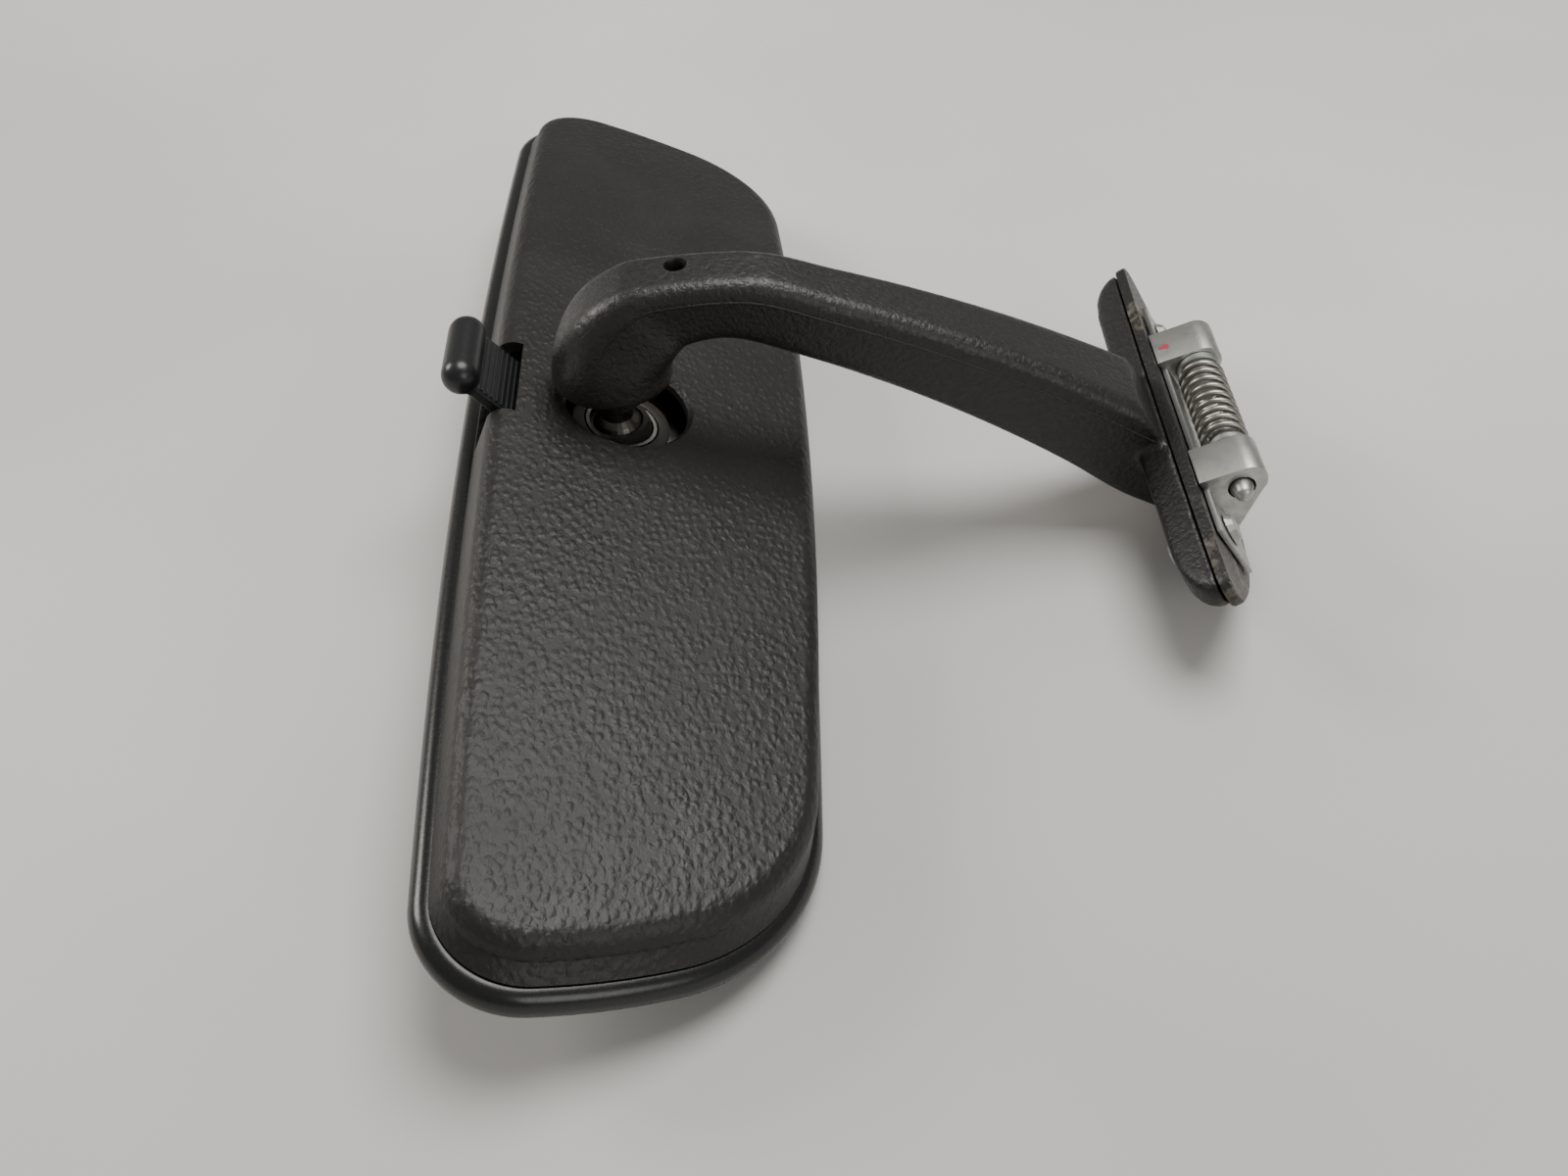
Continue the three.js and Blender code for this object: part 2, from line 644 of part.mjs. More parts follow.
/** A half-moon ring in the foot's frame: straight edge on top, deep arc below, round tips. */
function footRing(half, depth, z) {
  const a = half - FOOT_TIP;
  const sagBelow = depth - 2 * FOOT_TIP;
  const circle = (sag) => (a * a + sag * sag) / (2 * sag);
  const below = circle(sagBelow);
  const above = circle(FOOT_BOW);
  const centerBelow = new THREE.Vector2(0, -FOOT_TIP + below - sagBelow);
  const centerAbove = new THREE.Vector2(0, -FOOT_TIP + FOOT_BOW - above);
  const spreadBelow = Math.asin(a / below);
  const spreadAbove = Math.asin(a / above);
  const tip = (side) => new THREE.Vector2(side * a, -FOOT_TIP);
  const ring = [];
  const arc = (center, radius, from, to, count) => {
    for (let k = 0; k < count; k += 1) {
      const at = from + ((to - from) * k) / count;
      ring.push(new THREE.Vector3(center.x + radius * Math.cos(at), center.y + radius * Math.sin(at), z));
    }
  };
  const down = -Math.PI / 2;
  const up = Math.PI / 2;
  arc(tip(1), FOOT_TIP, down + spreadBelow, up - spreadAbove, 6);
  arc(centerAbove, above + FOOT_TIP, up - spreadAbove, up + spreadAbove, 6);
  arc(tip(-1), FOOT_TIP, up + spreadAbove, down - spreadBelow + 2 * Math.PI, 6);
  arc(centerBelow, below + FOOT_TIP, down - spreadBelow, down + spreadBelow, 17);
  return ring;
}

const SLAB_FACE = -BASE_PLATE - GAP;
const SLAB_BACK = SLAB_FACE - SLAB_THICKNESS;

function footSlab() {
  const face = footRing(FOOT_HALF - SLAB_MARGIN, FOOT_DEPTH - SLAB_MARGIN, SLAB_FACE);
  const half = FOOT_HALF - SLAB_MARGIN - SLAB_DRAFT_END;
  const back = footRing(half, FOOT_DEPTH - SLAB_MARGIN - SLAB_DRAFT, SLAB_BACK);
  return loft([back, face]);
}

/** Cuts both rivet holes, which run along z in the foot's frame. */
function cutRivetHoles(body, low, high, footMatrix = new THREE.Matrix4()) {
  let cut = body;
  for (const side of [-1, 1]) {
    const hole = barZ(RIVET_RADIUS + GAP, low - 1, high + 1).translate(side * RIVET_X, RIVET_Y, 0);
    cut = cut.subtract(solid(hole.applyMatrix4(footMatrix)));
  }
  return cut;
}

/** The arm and its foot as one casting, in the root frame. */
function buildCasting(ball, footMatrix) {
  const lip = ball.clone().add(new THREE.Vector3(0, 0, LIP_HEIGHT));
  const start = lip.clone().add(new THREE.Vector3(ARM_START[0], 0, ARM_START[1]));
  const meet = new THREE.Vector3(0, -ARM_SEAT, SLAB_FACE - 0.75 * SLAB_THICKNESS).applyMatrix4(footMatrix);
  const elbow = elbowSections().map((ring) => ring.map((point) => point.add(lip)));
  const arm = armSections(start, meet);
  const last = meet.clone().sub(start).normalize();
  const end = roundedSection(
    meet.clone().addScaledVector(last, SLAB_THICKNESS * 2),
    new THREE.Vector3(-last.z, 0, last.x).multiplyScalar(ARM_HEIGHT[1] * ARM_END_SCALE[0]),
    new THREE.Vector3(0, ARM_WIDTH[1] * ARM_END_SCALE[1], 0),
    ARM_EDGE,
  );
  const inSlab = SLAB_FACE - SLAB_THICKNESS / 8;
  const beyondFace = box([-FOOT_HALF, -2 * FOOT_DEPTH, inSlab], [FOOT_HALF, FOOT_DEPTH, 3 * FOOT_DEPTH]);
  let casting = solid(loft([...elbow, ...arm, end])).subtract(solid(beyondFace.applyMatrix4(footMatrix)));
  casting = casting.add(solid(footSlab().applyMatrix4(footMatrix)));
  const mouth = barZ(LIP_BORE, -1, LIP_BORE_DEPTH, LIP_BORE, 40).translate(lip.x, lip.y, lip.z);
  const bore = barZ(SHANK_RADIUS + GAP, 0, SHANK_BORE_DEPTH).translate(lip.x, lip.y, lip.z);
  const dimple = barZ(DIMPLE_RADIUS, lip.z + DIMPLE_BOTTOM, lip.z + 2 * ELBOW_RADIUS, DIMPLE_RADIUS, 16);
  for (const cut of [mouth, bore, dimple.translate(lip.x + DIMPLE_X, DIMPLE_Y, 0)]) {
    casting = casting.subtract(solid(cut));
  }
  return geometryOf(cutRivetHoles(casting, SLAB_BACK, SLAB_FACE, footMatrix));
}

/** The ball, neck, collar and shank, about the ball's centre. */
function buildStud() {
  const profile = [[0, -BALL_RADIUS]];
  const neckTurn = Math.asin(NECK_RADIUS / BALL_RADIUS);
  const steps = 9;
  for (let k = 1; k <= steps; k += 1) {
    const turn = (k / steps) * (Math.PI - neckTurn);
    profile.push([BALL_RADIUS * Math.sin(turn), -BALL_RADIUS * Math.cos(turn)]);
  }
  const collarTop = NECK_LENGTH + COLLAR_HEIGHT;
  const shankTop = LIP_HEIGHT + SHANK_BORE_DEPTH - GAP;
  profile.push([NECK_RADIUS, NECK_LENGTH]);
  profile.push([COLLAR_RADIUS, NECK_LENGTH + COLLAR_CHAMFER]);
  profile.push([COLLAR_RADIUS, collarTop]);
  profile.push([SHANK_RADIUS, collarTop]);
  profile.push([SHANK_RADIUS, shankTop - SHANK_CHAMFER]);
  profile.push([SHANK_RADIUS - SHANK_CHAMFER, shankTop]);
  profile.push([0, shankTop]);
  return turned(profile);
}

// ---- foot pieces ----

function buildBasePlate() {
  const rings = [-BASE_PLATE, 0].map((z) => footRing(FOOT_HALF, FOOT_DEPTH, z));
  return geometryOf(cutRivetHoles(solid(loft(rings)), -BASE_PLATE, 0));
}

/** Side view of one ear, y then z, standing on the bracket's base. */
function earShape(low) {
  const shape = new THREE.Shape();
  shape.moveTo(EAR_LOWER, low);
  shape.lineTo(EAR_UPPER, low);
  shape.absarc(...EAR_NOSE, EAR_NOSE_RADIUS, ...EAR_NOSE_TURN, false);
  shape.lineTo(EAR_LOWER, low + EAR_LOWER_RISE);
  shape.closePath();
  return shape;
}

function buildBracket() {
  const low = GAP;
  const top = GAP + BRACKET_BASE;
  let bracket = solid(box([-BRACKET_HALF, BRACKET_LOWER, low], [BRACKET_HALF, BRACKET_UPPER, top]));
  const thickness = EAR_OUTER - EAR_INNER;
  const options = { depth: thickness, bevelEnabled: false, curveSegments: 10 };
  for (const side of [-1, 1]) {
    const ear = new THREE.ExtrudeGeometry(earShape(low), options);
    // shape x becomes y, shape y becomes z, depth becomes x
    ear.applyMatrix4(new THREE.Matrix4().set(0, 0, 1, 0, 1, 0, 0, 0, 0, 1, 0, 0, 0, 0, 0, 1));
    ear.translate(side > 0 ? EAR_INNER : -EAR_OUTER, 0, 0);
    bracket = bracket.add(solid(ear));
  }
  const bore = barX(PIN_RADIUS + RUN, -EAR_OUTER - 1, EAR_OUTER + 1).translate(0, PIN_Y, PIN_Z);
  return geometryOf(cutRivetHoles(bracket.subtract(solid(bore)), low, top));
}

const HEAD_INNER = EAR_INNER - GAP - PIN_HEAD_THICKNESS;

/** One spring pin on its own axis: guide, head, stem and conical tip, pointing along side * x. */
function buildPlunger(side) {
  const profile = [
    [0, HEAD_INNER - PIN_GUIDE_LENGTH],
    [PIN_GUIDE, HEAD_INNER - PIN_GUIDE_LENGTH],
    [PIN_GUIDE, HEAD_INNER],
    [PIN_HEAD, HEAD_INNER],
    [PIN_HEAD, HEAD_INNER + PIN_HEAD_THICKNESS],
    [PIN_RADIUS, HEAD_INNER + PIN_HEAD_THICKNESS],
    [PIN_RADIUS, EAR_OUTER + PIN_STEM_OUT],
    [PIN_TIP, EAR_OUTER + PIN_OUT - PIN_TIP_LENGTH],
    [PIN_TIP_END, EAR_OUTER + PIN_OUT],
    [0, EAR_OUTER + PIN_OUT],
  ];
  const pin = turned(profile, 18);
  return side > 0 ? pin.rotateY(Math.PI / 2) : pin.rotateY(-Math.PI / 2);
}

class CoilCurve extends THREE.Curve {
  constructor(radius, half, turns) {
    super();
    this.radius = radius;
    this.half = half;
    this.turns = turns;
  }

  getPoint(t, target = new THREE.Vector3()) {
    const turn = 2 * Math.PI * this.turns * t;
    return target.set(this.half * (2 * t - 1), this.radius * Math.cos(turn), this.radius * Math.sin(turn));
  }
}

function buildCoil() {
  const half = HEAD_INNER - COIL_WIRE - GAP;
  const section = new THREE.Shape();
  section.absarc(0, 0, COIL_WIRE, 0, 2 * Math.PI, false);
  return new THREE.ExtrudeGeometry(section, {
    steps: COIL_TURNS * 10,
    curveSegments: 3,
    extrudePath: new CoilCurve(COIL_RADIUS, half, COIL_TURNS),
  });
}

// ---- assembly ----

const leanSin = Math.sin(HEAD_LEAN);
const leanCos = Math.cos(HEAD_LEAN);
const roofEdge = Math.min(...OUTLINE.map(({ point }) => point.y));
const headHeight = BEAD_RADIUS - (roofEdge + BEAD_RADIUS) * leanSin;
const head = framed(
  new THREE.Vector3(0, 1, 0),
  new THREE.Vector3(-leanCos, 0, leanSin),
  new THREE.Vector3(leanSin, 0, leanCos),
  new THREE.Vector3(0, 0, headHeight),
);
const ball = new THREE.Vector3(0, BALL_Y, BALL_Z).applyMatrix4(head.matrix);

const faceSin = Math.sin(FOOT_FACE);
const faceCos = Math.cos(FOOT_FACE);
const footHeight = FOOT_DEPTH * faceCos + BASE_PLATE * faceSin;
const foot = framed(
  new THREE.Vector3(0, 1, 0),
  new THREE.Vector3(-faceSin, 0, faceCos),
  new THREE.Vector3(faceCos, 0, faceSin),
  new THREE.Vector3(ball.x + ARM_REACH, 0, footHeight),
);
const joint = new THREE.Group();
joint.position.copy(ball);
root.add(joint);

piece(root, 'arm_casting', buildCasting(ball, foot.matrix), COLORS.casting, 0.55, 0.3);
piece(joint, 'ball_stud', buildStud(), COLORS.zinc, 0.35, 0.9);
const bandHalf = SEAT_OUTER * Math.cos(SEAT_OPENING);
const innerSeat = ballBand(SEAT_INNER, SEAT_OUTER, -bandHalf, bandHalf);
piece(joint, 'inner_seat', innerSeat, COLORS.acetal, 0.6, 0);

piece(foot, 'base_plate', buildBasePlate(), COLORS.casting, 0.6, 0.3);
piece(foot, 'pin_bracket', buildBracket(), COLORS.zinc, 0.4, 0.9);
for (const [name, side] of [['near', -1], ['far', 1]]) {
  const rivet = buildRivet(RIVET_RADIUS, RIVET_HEAD, RIVET_HEAD_HEIGHT, SLAB_BACK, GAP + BRACKET_BASE);
  piece(foot, `bracket_rivet_${name}`, rivet, COLORS.zinc, 0.4, 0.9, [side * RIVET_X, RIVET_Y, 0]);
  piece(foot, `spring_pin_${name}`, buildPlunger(side), COLORS.zinc, 0.35, 0.9, [0, PIN_Y, PIN_Z]);
}
piece(foot, 'pin_spring', buildCoil(), COLORS.spring, 0.4, 0.9, [0, PIN_Y, PIN_Z]);

const springCup = ballBand(SPRING_CUP_INNER, SPRING_CUP_OUTER, -bandHalf, CUP_RISE);
piece(head, 'seat_spring', springCup, COLORS.spring, 0.4, 0.9, [0, BALL_Y, BALL_Z]);
piece(head, 'socket_cup', buildCup(), COLORS.acetal, 0.6, 0, [0, BALL_Y, BALL_Z]);
piece(head, 'pivot_plate', buildPivotPlate(), COLORS.steel, 0.4, 0.9);
const cupFlangeTop = PLATE_Z + PLATE_THICKNESS + GAP + CUP_FLANGE_THICKNESS;
for (const [name, side] of [['near', -1], ['far', 1]]) {
  const size = [RIVET_RADIUS - GAP, CUP_RIVET_HEAD, CUP_RIVET_HEAD_HEIGHT];
  const rivet = buildRivet(...size, PLATE_Z, cupFlangeTop);
  piece(head, `cup_rivet_${name}`, rivet, COLORS.zinc, 0.4, 0.9, [side * CUP_RIVET_X, BALL_Y, 0]);
}
piece(head, 'pivot_rod', barX(ROD_RADIUS, -ROD_HALF, ROD_HALF), COLORS.zinc, 0.35, 0.9, [0, ROD_Y, ROD_Z]);
piece(head, 'rear_housing', buildShell(), COLORS.shell, 0.6, 0);
piece(head, 'rim_bezel', buildBezel(), COLORS.bezel, 0.45, 0);
piece(head, 'mirror_glass', buildGlass(), COLORS.glass, 0.05, 1);
piece(head, 'glass_pad', buildPad(), COLORS.pad, 0.9, 0);
piece(head, 'day_night_lever', buildLever(), COLORS.bezel, 0.55, 0, [0, LEVER_Y, LEVER_Z]);
const pinHalf = HUB_HALF + RUN + EAR_WALL;
const leverPin = barX(LEVER_PIN, -pinHalf, pinHalf);
piece(head, 'lever_pin', leverPin, COLORS.zinc, 0.35, 0.9, [0, LEVER_Y, LEVER_Z]);
const leafTop = backHeight(LEAF_SPRING[0] / 2) - WALL - GAP;
const leaf = new THREE.BoxGeometry(...LEAF_SPRING);
const leafAt = [0, LEVER_Y - LEAF_OFFSET, leafTop - LEAF_SPRING[2] / 2];
piece(head, 'toggle_spring', leaf, COLORS.spring, 0.4, 0.9, leafAt);

// the whole part stands with the centre of its bottom at the origin
root.updateMatrixWorld(true);
const bounds = new THREE.Box3().setFromObject(root, true);
const middle = bounds.getCenter(new THREE.Vector3());
root.position.set(-middle.x, -middle.y, -bounds.min.z);
const mirror = new THREE.Group();
mirror.add(root);

export default mirror;
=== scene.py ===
"""An interior rearview mirror: moulded case, bezel, day/night lever, cast arm, foot and sprung pins.

Every size is in millimetres in the local frame of its sub-assembly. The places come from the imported
frame: the ball joint's axes set the mirror head's frame, and the pin spring's middle sets the foot's.
"""

import json
import logging
from dataclasses import dataclass
from enum import Enum
from math import asin, atan2, cos, pi, radians, sin, sqrt
from typing import Callable, Sequence

import bmesh
import bpy
from bpy.types import Material, Node, NodeTree
from bpy.types import NodeSocket as Socket
from bpy.types import Object as Piece
from mathutils import Matrix, Vector

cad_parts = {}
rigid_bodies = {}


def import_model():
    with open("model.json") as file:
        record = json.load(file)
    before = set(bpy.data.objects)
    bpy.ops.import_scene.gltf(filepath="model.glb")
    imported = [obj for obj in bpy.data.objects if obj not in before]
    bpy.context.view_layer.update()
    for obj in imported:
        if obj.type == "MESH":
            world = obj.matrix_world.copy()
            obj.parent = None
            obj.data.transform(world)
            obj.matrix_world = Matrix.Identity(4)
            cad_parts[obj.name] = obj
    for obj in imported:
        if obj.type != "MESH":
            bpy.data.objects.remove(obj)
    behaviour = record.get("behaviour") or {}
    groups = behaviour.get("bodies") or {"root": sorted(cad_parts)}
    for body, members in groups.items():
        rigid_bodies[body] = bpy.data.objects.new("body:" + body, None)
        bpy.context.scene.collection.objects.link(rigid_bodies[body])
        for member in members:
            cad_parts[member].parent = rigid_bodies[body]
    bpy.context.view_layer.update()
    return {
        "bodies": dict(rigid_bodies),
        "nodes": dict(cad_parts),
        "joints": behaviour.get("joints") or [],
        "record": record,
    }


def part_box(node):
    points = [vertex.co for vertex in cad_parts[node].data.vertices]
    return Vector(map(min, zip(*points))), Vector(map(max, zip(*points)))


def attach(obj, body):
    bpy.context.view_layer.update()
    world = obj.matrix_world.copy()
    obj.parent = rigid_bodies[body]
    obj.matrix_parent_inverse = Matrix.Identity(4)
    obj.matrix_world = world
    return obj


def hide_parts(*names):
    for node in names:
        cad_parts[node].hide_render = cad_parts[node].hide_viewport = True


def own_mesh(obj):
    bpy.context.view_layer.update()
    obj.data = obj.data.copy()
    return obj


log = logging.getLogger("mirror")
logging.basicConfig(level=logging.INFO, format="%(message)s")

MM = 0.001
Color = tuple[float, float, float, float]
Shape = tuple[list[Vector], list[list[int]]]
Height = Callable[[float, float], float]


class Body(Enum):
    """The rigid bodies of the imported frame."""

    ARM = "arm"
    CASE = "mirror_case"
    LEVER = "lever"
    NEAR_PIN = "near_pin"
    FAR_PIN = "far_pin"


# ---------------- colour and node helpers


def srgb(code: str) -> Color:
    """Turn six hex digits of sRGB into linear red, green, blue and an alpha of one."""
    parts = [int(code[i : i + 2], 16) / 255 for i in (0, 2, 4)]
    linear = [c / 12.92 if c <= 0.04045 else ((c + 0.055) / 1.055) ** 2.4 for c in parts]
    return (*linear, 1.0)


def fill(tree: NodeTree, socket: Socket, value: Socket | Color | float) -> None:
    """Link a socket's input, or set it when the value is plain."""
    if isinstance(value, Socket):
        tree.links.new(value, socket)
    else:
        socket.default_value = value


def add_node(tree: NodeTree, kind: str, settings: dict | None = None, **links) -> Node:
    """Add a node, set its properties and fill its sockets.

    Args:
        tree: the node tree to add to.
        kind: the node's type name.
        settings: properties of the node itself.
        **links: an input's name with underscores for spaces, or i and its number, to a value or a socket.

    Returns:
        The new node.
    """
    node = tree.nodes.new(kind)
    for key, value in (settings or {}).items():
        setattr(node, key, value)
    for key, value in links.items():
        numbered = key[0] == "i" and key[1:].isdigit()
        fill(tree, node.inputs[int(key[1:])] if numbered else node.inputs[key.replace("_", " ")], value)
    return node


@dataclass(frozen=True)
class Surface:
    """The principled surface that a finish paints, patterned in millimetres."""

    tree: NodeTree
    shader: Node

    def points(self, stretch: tuple[float, float, float] = (1, 1, 1)) -> Socket:
        """Object coordinates in millimetres, stretched per axis."""
        coordinates = add_node(self.tree, "ShaderNodeTexCoord")
        scale = tuple(s / MM for s in stretch)
        values = {"Vector": coordinates.outputs["Object"], "Scale": scale}
        return add_node(self.tree, "ShaderNodeMapping", **values).outputs["Vector"]

    def noise(
        self, points: Socket, scale: float, detail: float, roughness: float = 0.5, distortion: float = 0.0
    ) -> Node:
        """A noise texture; scale is per millimetre."""
        values = {"Scale": scale, "Detail": detail, "Roughness": roughness, "Distortion": distortion}
        return add_node(self.tree, "ShaderNodeTexNoise", Vector=points, **values)

    def ramp(self, value: Socket, low: float, high: float, start: float = 0.0, end: float = 1.0) -> Socket:
        """Map low to start and high to end, clamped."""
        node = add_node(self.tree, "ShaderNodeMapRange", Value=value)
        for name, number in (("From Min", low), ("From Max", high), ("To Min", start), ("To Max", end)):
            node.inputs[name].default_value = number
        return node.outputs["Result"]

    def tint(self, factor: Socket, plain: Color, other: Color) -> None:
        """Blend the base colour between two colours."""
        node = add_node(self.tree, "ShaderNodeMix", {"data_type": "RGBA"}, i0=factor, i6=plain, i7=other)
        self.put("Base Color", node.outputs[2])

    def bump(self, height: Socket, relief_mm: float, strength: float) -> None:
        """Raise the surface by a height map."""
        node = add_node(
            self.tree, "ShaderNodeBump", Height=height, Distance=relief_mm * MM, Strength=strength
        )
        self.put("Normal", node.outputs["Normal"])

    def put(self, name: str, value: Socket | Color | float) -> None:
        """Fill one of the surface's own inputs."""
        fill(self.tree, self.shader.inputs[name], value)


@dataclass(frozen=True)
class Finish:
    """What every finish shares: a name and a principled surface."""

    name: str

    def build(self) -> Material:
        """Make the material.

        Returns:
            The finished material.
        """
        material = bpy.data.materials.new(self.name)
        material.use_nodes = True
        tree = material.node_tree
        self.paint(Surface(tree, tree.nodes["Principled BSDF"]))
        return material

    def paint(self, surface: Surface) -> None:
        """Fill the surface's inputs; each finish has its own way."""
        raise NotImplementedError


@dataclass(frozen=True)
class GrainedPlastic(Finish):
    """Injection-moulded ABS with a leather grain etched into the mould."""

    color: str = "1b1a19"
    worn: str = "292725"
    cell_mm: float = 1.15
    relief_mm: float = 0.15
    gloss: float = 0.4

    def paint(self, surface: Surface) -> None:
        """Cells with creases between them, wandering, and a few rubbed patches."""
        tree = surface.tree
        points = surface.points((1, 0.72, 1))
        wander = surface.noise(points, 0.9, 2.0)
        bent = add_node(
            tree,
            "ShaderNodeVectorMath",
            {"operation": "MULTIPLY_ADD"},
            i0=wander.outputs["Color"],
            i1=(0.9, 0.9, 0.9),
            i2=points,
        )
        cells = add_node(
            tree,
            "ShaderNodeTexVoronoi",
            {"feature": "SMOOTH_F1"},
            Vector=bent.outputs["Vector"],
            Scale=1 / self.cell_mm,
            Smoothness=0.6,
        )
        creases = surface.ramp(cells.outputs["Distance"], 0.1, 0.62, 1.0, 0.0)
        fine = surface.noise(points, 2.6, 4.0).outputs["Fac"]
        height = add_node(
            tree, "ShaderNodeMath", {"operation": "MULTIPLY_ADD"}, i0=fine, i1=0.5, i2=creases
        )
        surface.bump(height.outputs[0], self.relief_mm, 0.75)
        blotch = surface.noise(points, 0.05, 5.0, 0.6).outputs["Fac"]
        surface.tint(surface.ramp(blotch, 0.45, 0.72, 0.0, 0.5), srgb(self.color), srgb(self.worn))
        surface.put("Roughness", surface.ramp(blotch, 0.3, 0.75, self.gloss, self.gloss + 0.12))
        surface.put("Specular IOR Level", 0.4)


@dataclass(frozen=True)
class SmoothPlastic(Finish):
    """Polished black polypropylene or nylon, slightly wavy and finely scuffed."""

    color: str = "121314"
    gloss: float = 0.24
    relief_mm: float = 0.12

    def paint(self, surface: Surface) -> None:
        """Slow waves in the surface, and scuffs that dull it a little."""
        points = surface.points()
        waves = surface.noise(points, 0.22, 3.0).outputs["Fac"]
        scuffs = surface.noise(points, 1.4, 6.0, 0.7).outputs["Fac"]
        surface.put("Roughness", surface.ramp(scuffs, 0.42, 0.75, self.gloss, self.gloss + 0.1))
        surface.put("Base Color", srgb(self.color))
        surface.bump(waves, self.relief_mm, 0.3)


@dataclass(frozen=True)
class CoatedCasting(Finish):
    """Black wrinkle-textured lacquer on a zinc casting, thin and grey where it is rubbed."""

    color: str = "1a1918"
    bare: str = "4a4540"
    pebble_mm: float = 0.9
    relief_mm: float = 0.32
    wear: float = 0.03

    def paint(self, surface: Surface) -> None:
        """Pebbles in the lacquer and patches where it is worn."""
        points = surface.points()
        pebbles = surface.noise(points, 1 / self.pebble_mm, 3.0, distortion=0.4).outputs["Fac"]
        surface.bump(pebbles, self.relief_mm, 0.6)
        patches = surface.noise(points, 0.16, 8.0, 0.72).outputs["Fac"]
        bare = surface.ramp(patches, 0.68 - self.wear, 0.78 - self.wear, 0.0, 0.8)
        surface.tint(bare, srgb(self.color), srgb(self.bare))
        surface.put("Roughness", surface.ramp(pebbles, 0.35, 0.65, 0.34, 0.5))


@dataclass(frozen=True)
class PlatedSteel(Finish):
    """Zinc-plated steel, dulled and stained by handling."""

    color: str = "b9bbb8"
    stain: str = "807b70"
    gloss: float = 0.32
    stained: float = 0.5

    def paint(self, surface: Surface) -> None:
        """Cloudy stains over fine streaks."""
        cloud = surface.noise(surface.points(), 0.35, 6.0, 0.65).outputs["Fac"]
        streaks = surface.noise(surface.points((3.0, 0.5, 3.0)), 1.0, 4.0).outputs["Fac"]
        dirt = surface.ramp(cloud, 0.42, 0.72, 0.0, self.stained)
        surface.tint(dirt, srgb(self.color), srgb(self.stain))
        surface.put("Roughness", surface.ramp(cloud, 0.3, 0.7, self.gloss, self.gloss + 0.2))
        surface.bump(streaks, 0.04, 0.5)
        surface.put("Metallic", 1.0)


@dataclass(frozen=True)
class SilveredGlass(Finish):
    """Prismatic glass seen from its front, with the silver behind it."""

    color: str = "dfe4e6"

    def paint(self, surface: Surface) -> None:
        """A mirror with faint smears."""
        smears = surface.noise(surface.points(), 0.08, 5.0).outputs["Fac"]
        surface.put("Roughness", surface.ramp(smears, 0.45, 0.8, 0.015, 0.07))
        surface.put("Base Color", srgb(self.color))
        surface.put("Metallic", 1.0)


@dataclass(frozen=True)
class Mottled(Finish):
    """A plain matter with a faint mottle: acetal, felt, a dab of paint or the floor."""

    color: str = "dad5c6"
    rough: float = 0.55
    mottle_mm: float = 0.8

    def paint(self, surface: Surface) -> None:
        """The colour, and a darker tone of it in clouds."""
        mottle = surface.noise(surface.points(), 1 / self.mottle_mm, 4.0).outputs["Fac"]
        darker = tuple(c * 0.7 for c in srgb(self.color)[:3]) + (1.0,)
        surface.tint(surface.ramp(mottle, 0.3, 0.7), srgb(self.color), darker)
        surface.put("Roughness", self.rough)


# ---------------- mesh helpers


def linked(name: str, data: bpy.types.ID) -> Piece:
    """A new object in the scene that holds the data."""
    obj = bpy.data.objects.new(name, data)
    bpy.context.scene.collection.objects.link(obj)
    return obj


def new_object(name: str, shape: Shape, place: Matrix) -> Piece:
    """Make a mesh object whose points are given in millimetres in a local frame.

    Args:
        name: the piece's name.
        shape: corner points in millimetres, and faces as lists of their indices.
        place: the local frame in the row frame, millimetres to metres.

    Returns:
        The object, at the origin, with its place in its mesh and its normals outward.
    """
    mesh = bpy.data.meshes.new(name)
    mesh.from_pydata([place @ p for p in shape[0]], [], shape[1])
    form = bmesh.new()
    form.from_mesh(mesh)
    bmesh.ops.remove_doubles(form, verts=form.verts, dist=1e-7)
    bmesh.ops.recalc_face_normals(form, faces=form.faces)
    form.to_mesh(mesh)
    form.free()
    return linked(name, mesh)


def skin(rings: Sequence[Sequence[Vector]], closed: bool = False, caps: bool = True) -> Shape:
    """Skin rings that hold the same even number of points.

    Args:
        rings: the rings, in order.
        closed: True if the last ring joins the first.
        caps: True to close both ends with strips across the ring.

    Returns:
        The points and the faces.
    """
    count = len(rings[0])
    points = [p for ring in rings for p in ring]
    faces: list[list[int]] = []
    for k in range(len(rings) if closed else len(rings) - 1):
        a, b = k * count, ((k + 1) % len(rings)) * count
        for i in range(count):
            j = (i + 1) % count
            faces.append([a + i, a + j, b + j, b + i])
    if caps and not closed:
        for first in (0, (len(rings) - 1) * count):
            for k in range(count // 2 - 1):
                low, high = first + k, first + count - 1 - k
                faces.append([low, low + 1, high - 1, high])
    return points, faces


def lathe(profile: Sequence[tuple[float, float]], sides: int, axis: str = "z") -> Shape:
    """Turn a profile of (radius, height) about an axis; its ends lie on the axis."""
    rings = []
    for radius, height in profile:
        ring = []
        for k in range(sides):
            turn = 2 * pi * k / sides
            u, v = radius * cos(turn), radius * sin(turn)
            ring.append(Vector((u, v, height)) if axis == "z" else Vector((height, u, v)))
        rings.append(ring)
    points, faces = skin(rings, caps=False)
    return points, faces + [list(range(sides)), list(range(len(points) - sides, len(points)))]


def block(low: Sequence[float], high: Sequence[float]) -> Shape:
    """Points and faces of a box between two corners."""
    ring = [(low[0], low[1]), (high[0], low[1]), (high[0], high[1]), (low[0], high[1])]
    return skin([[Vector((x, y, z)) for x, y in ring] for z in (low[2], high[2])])


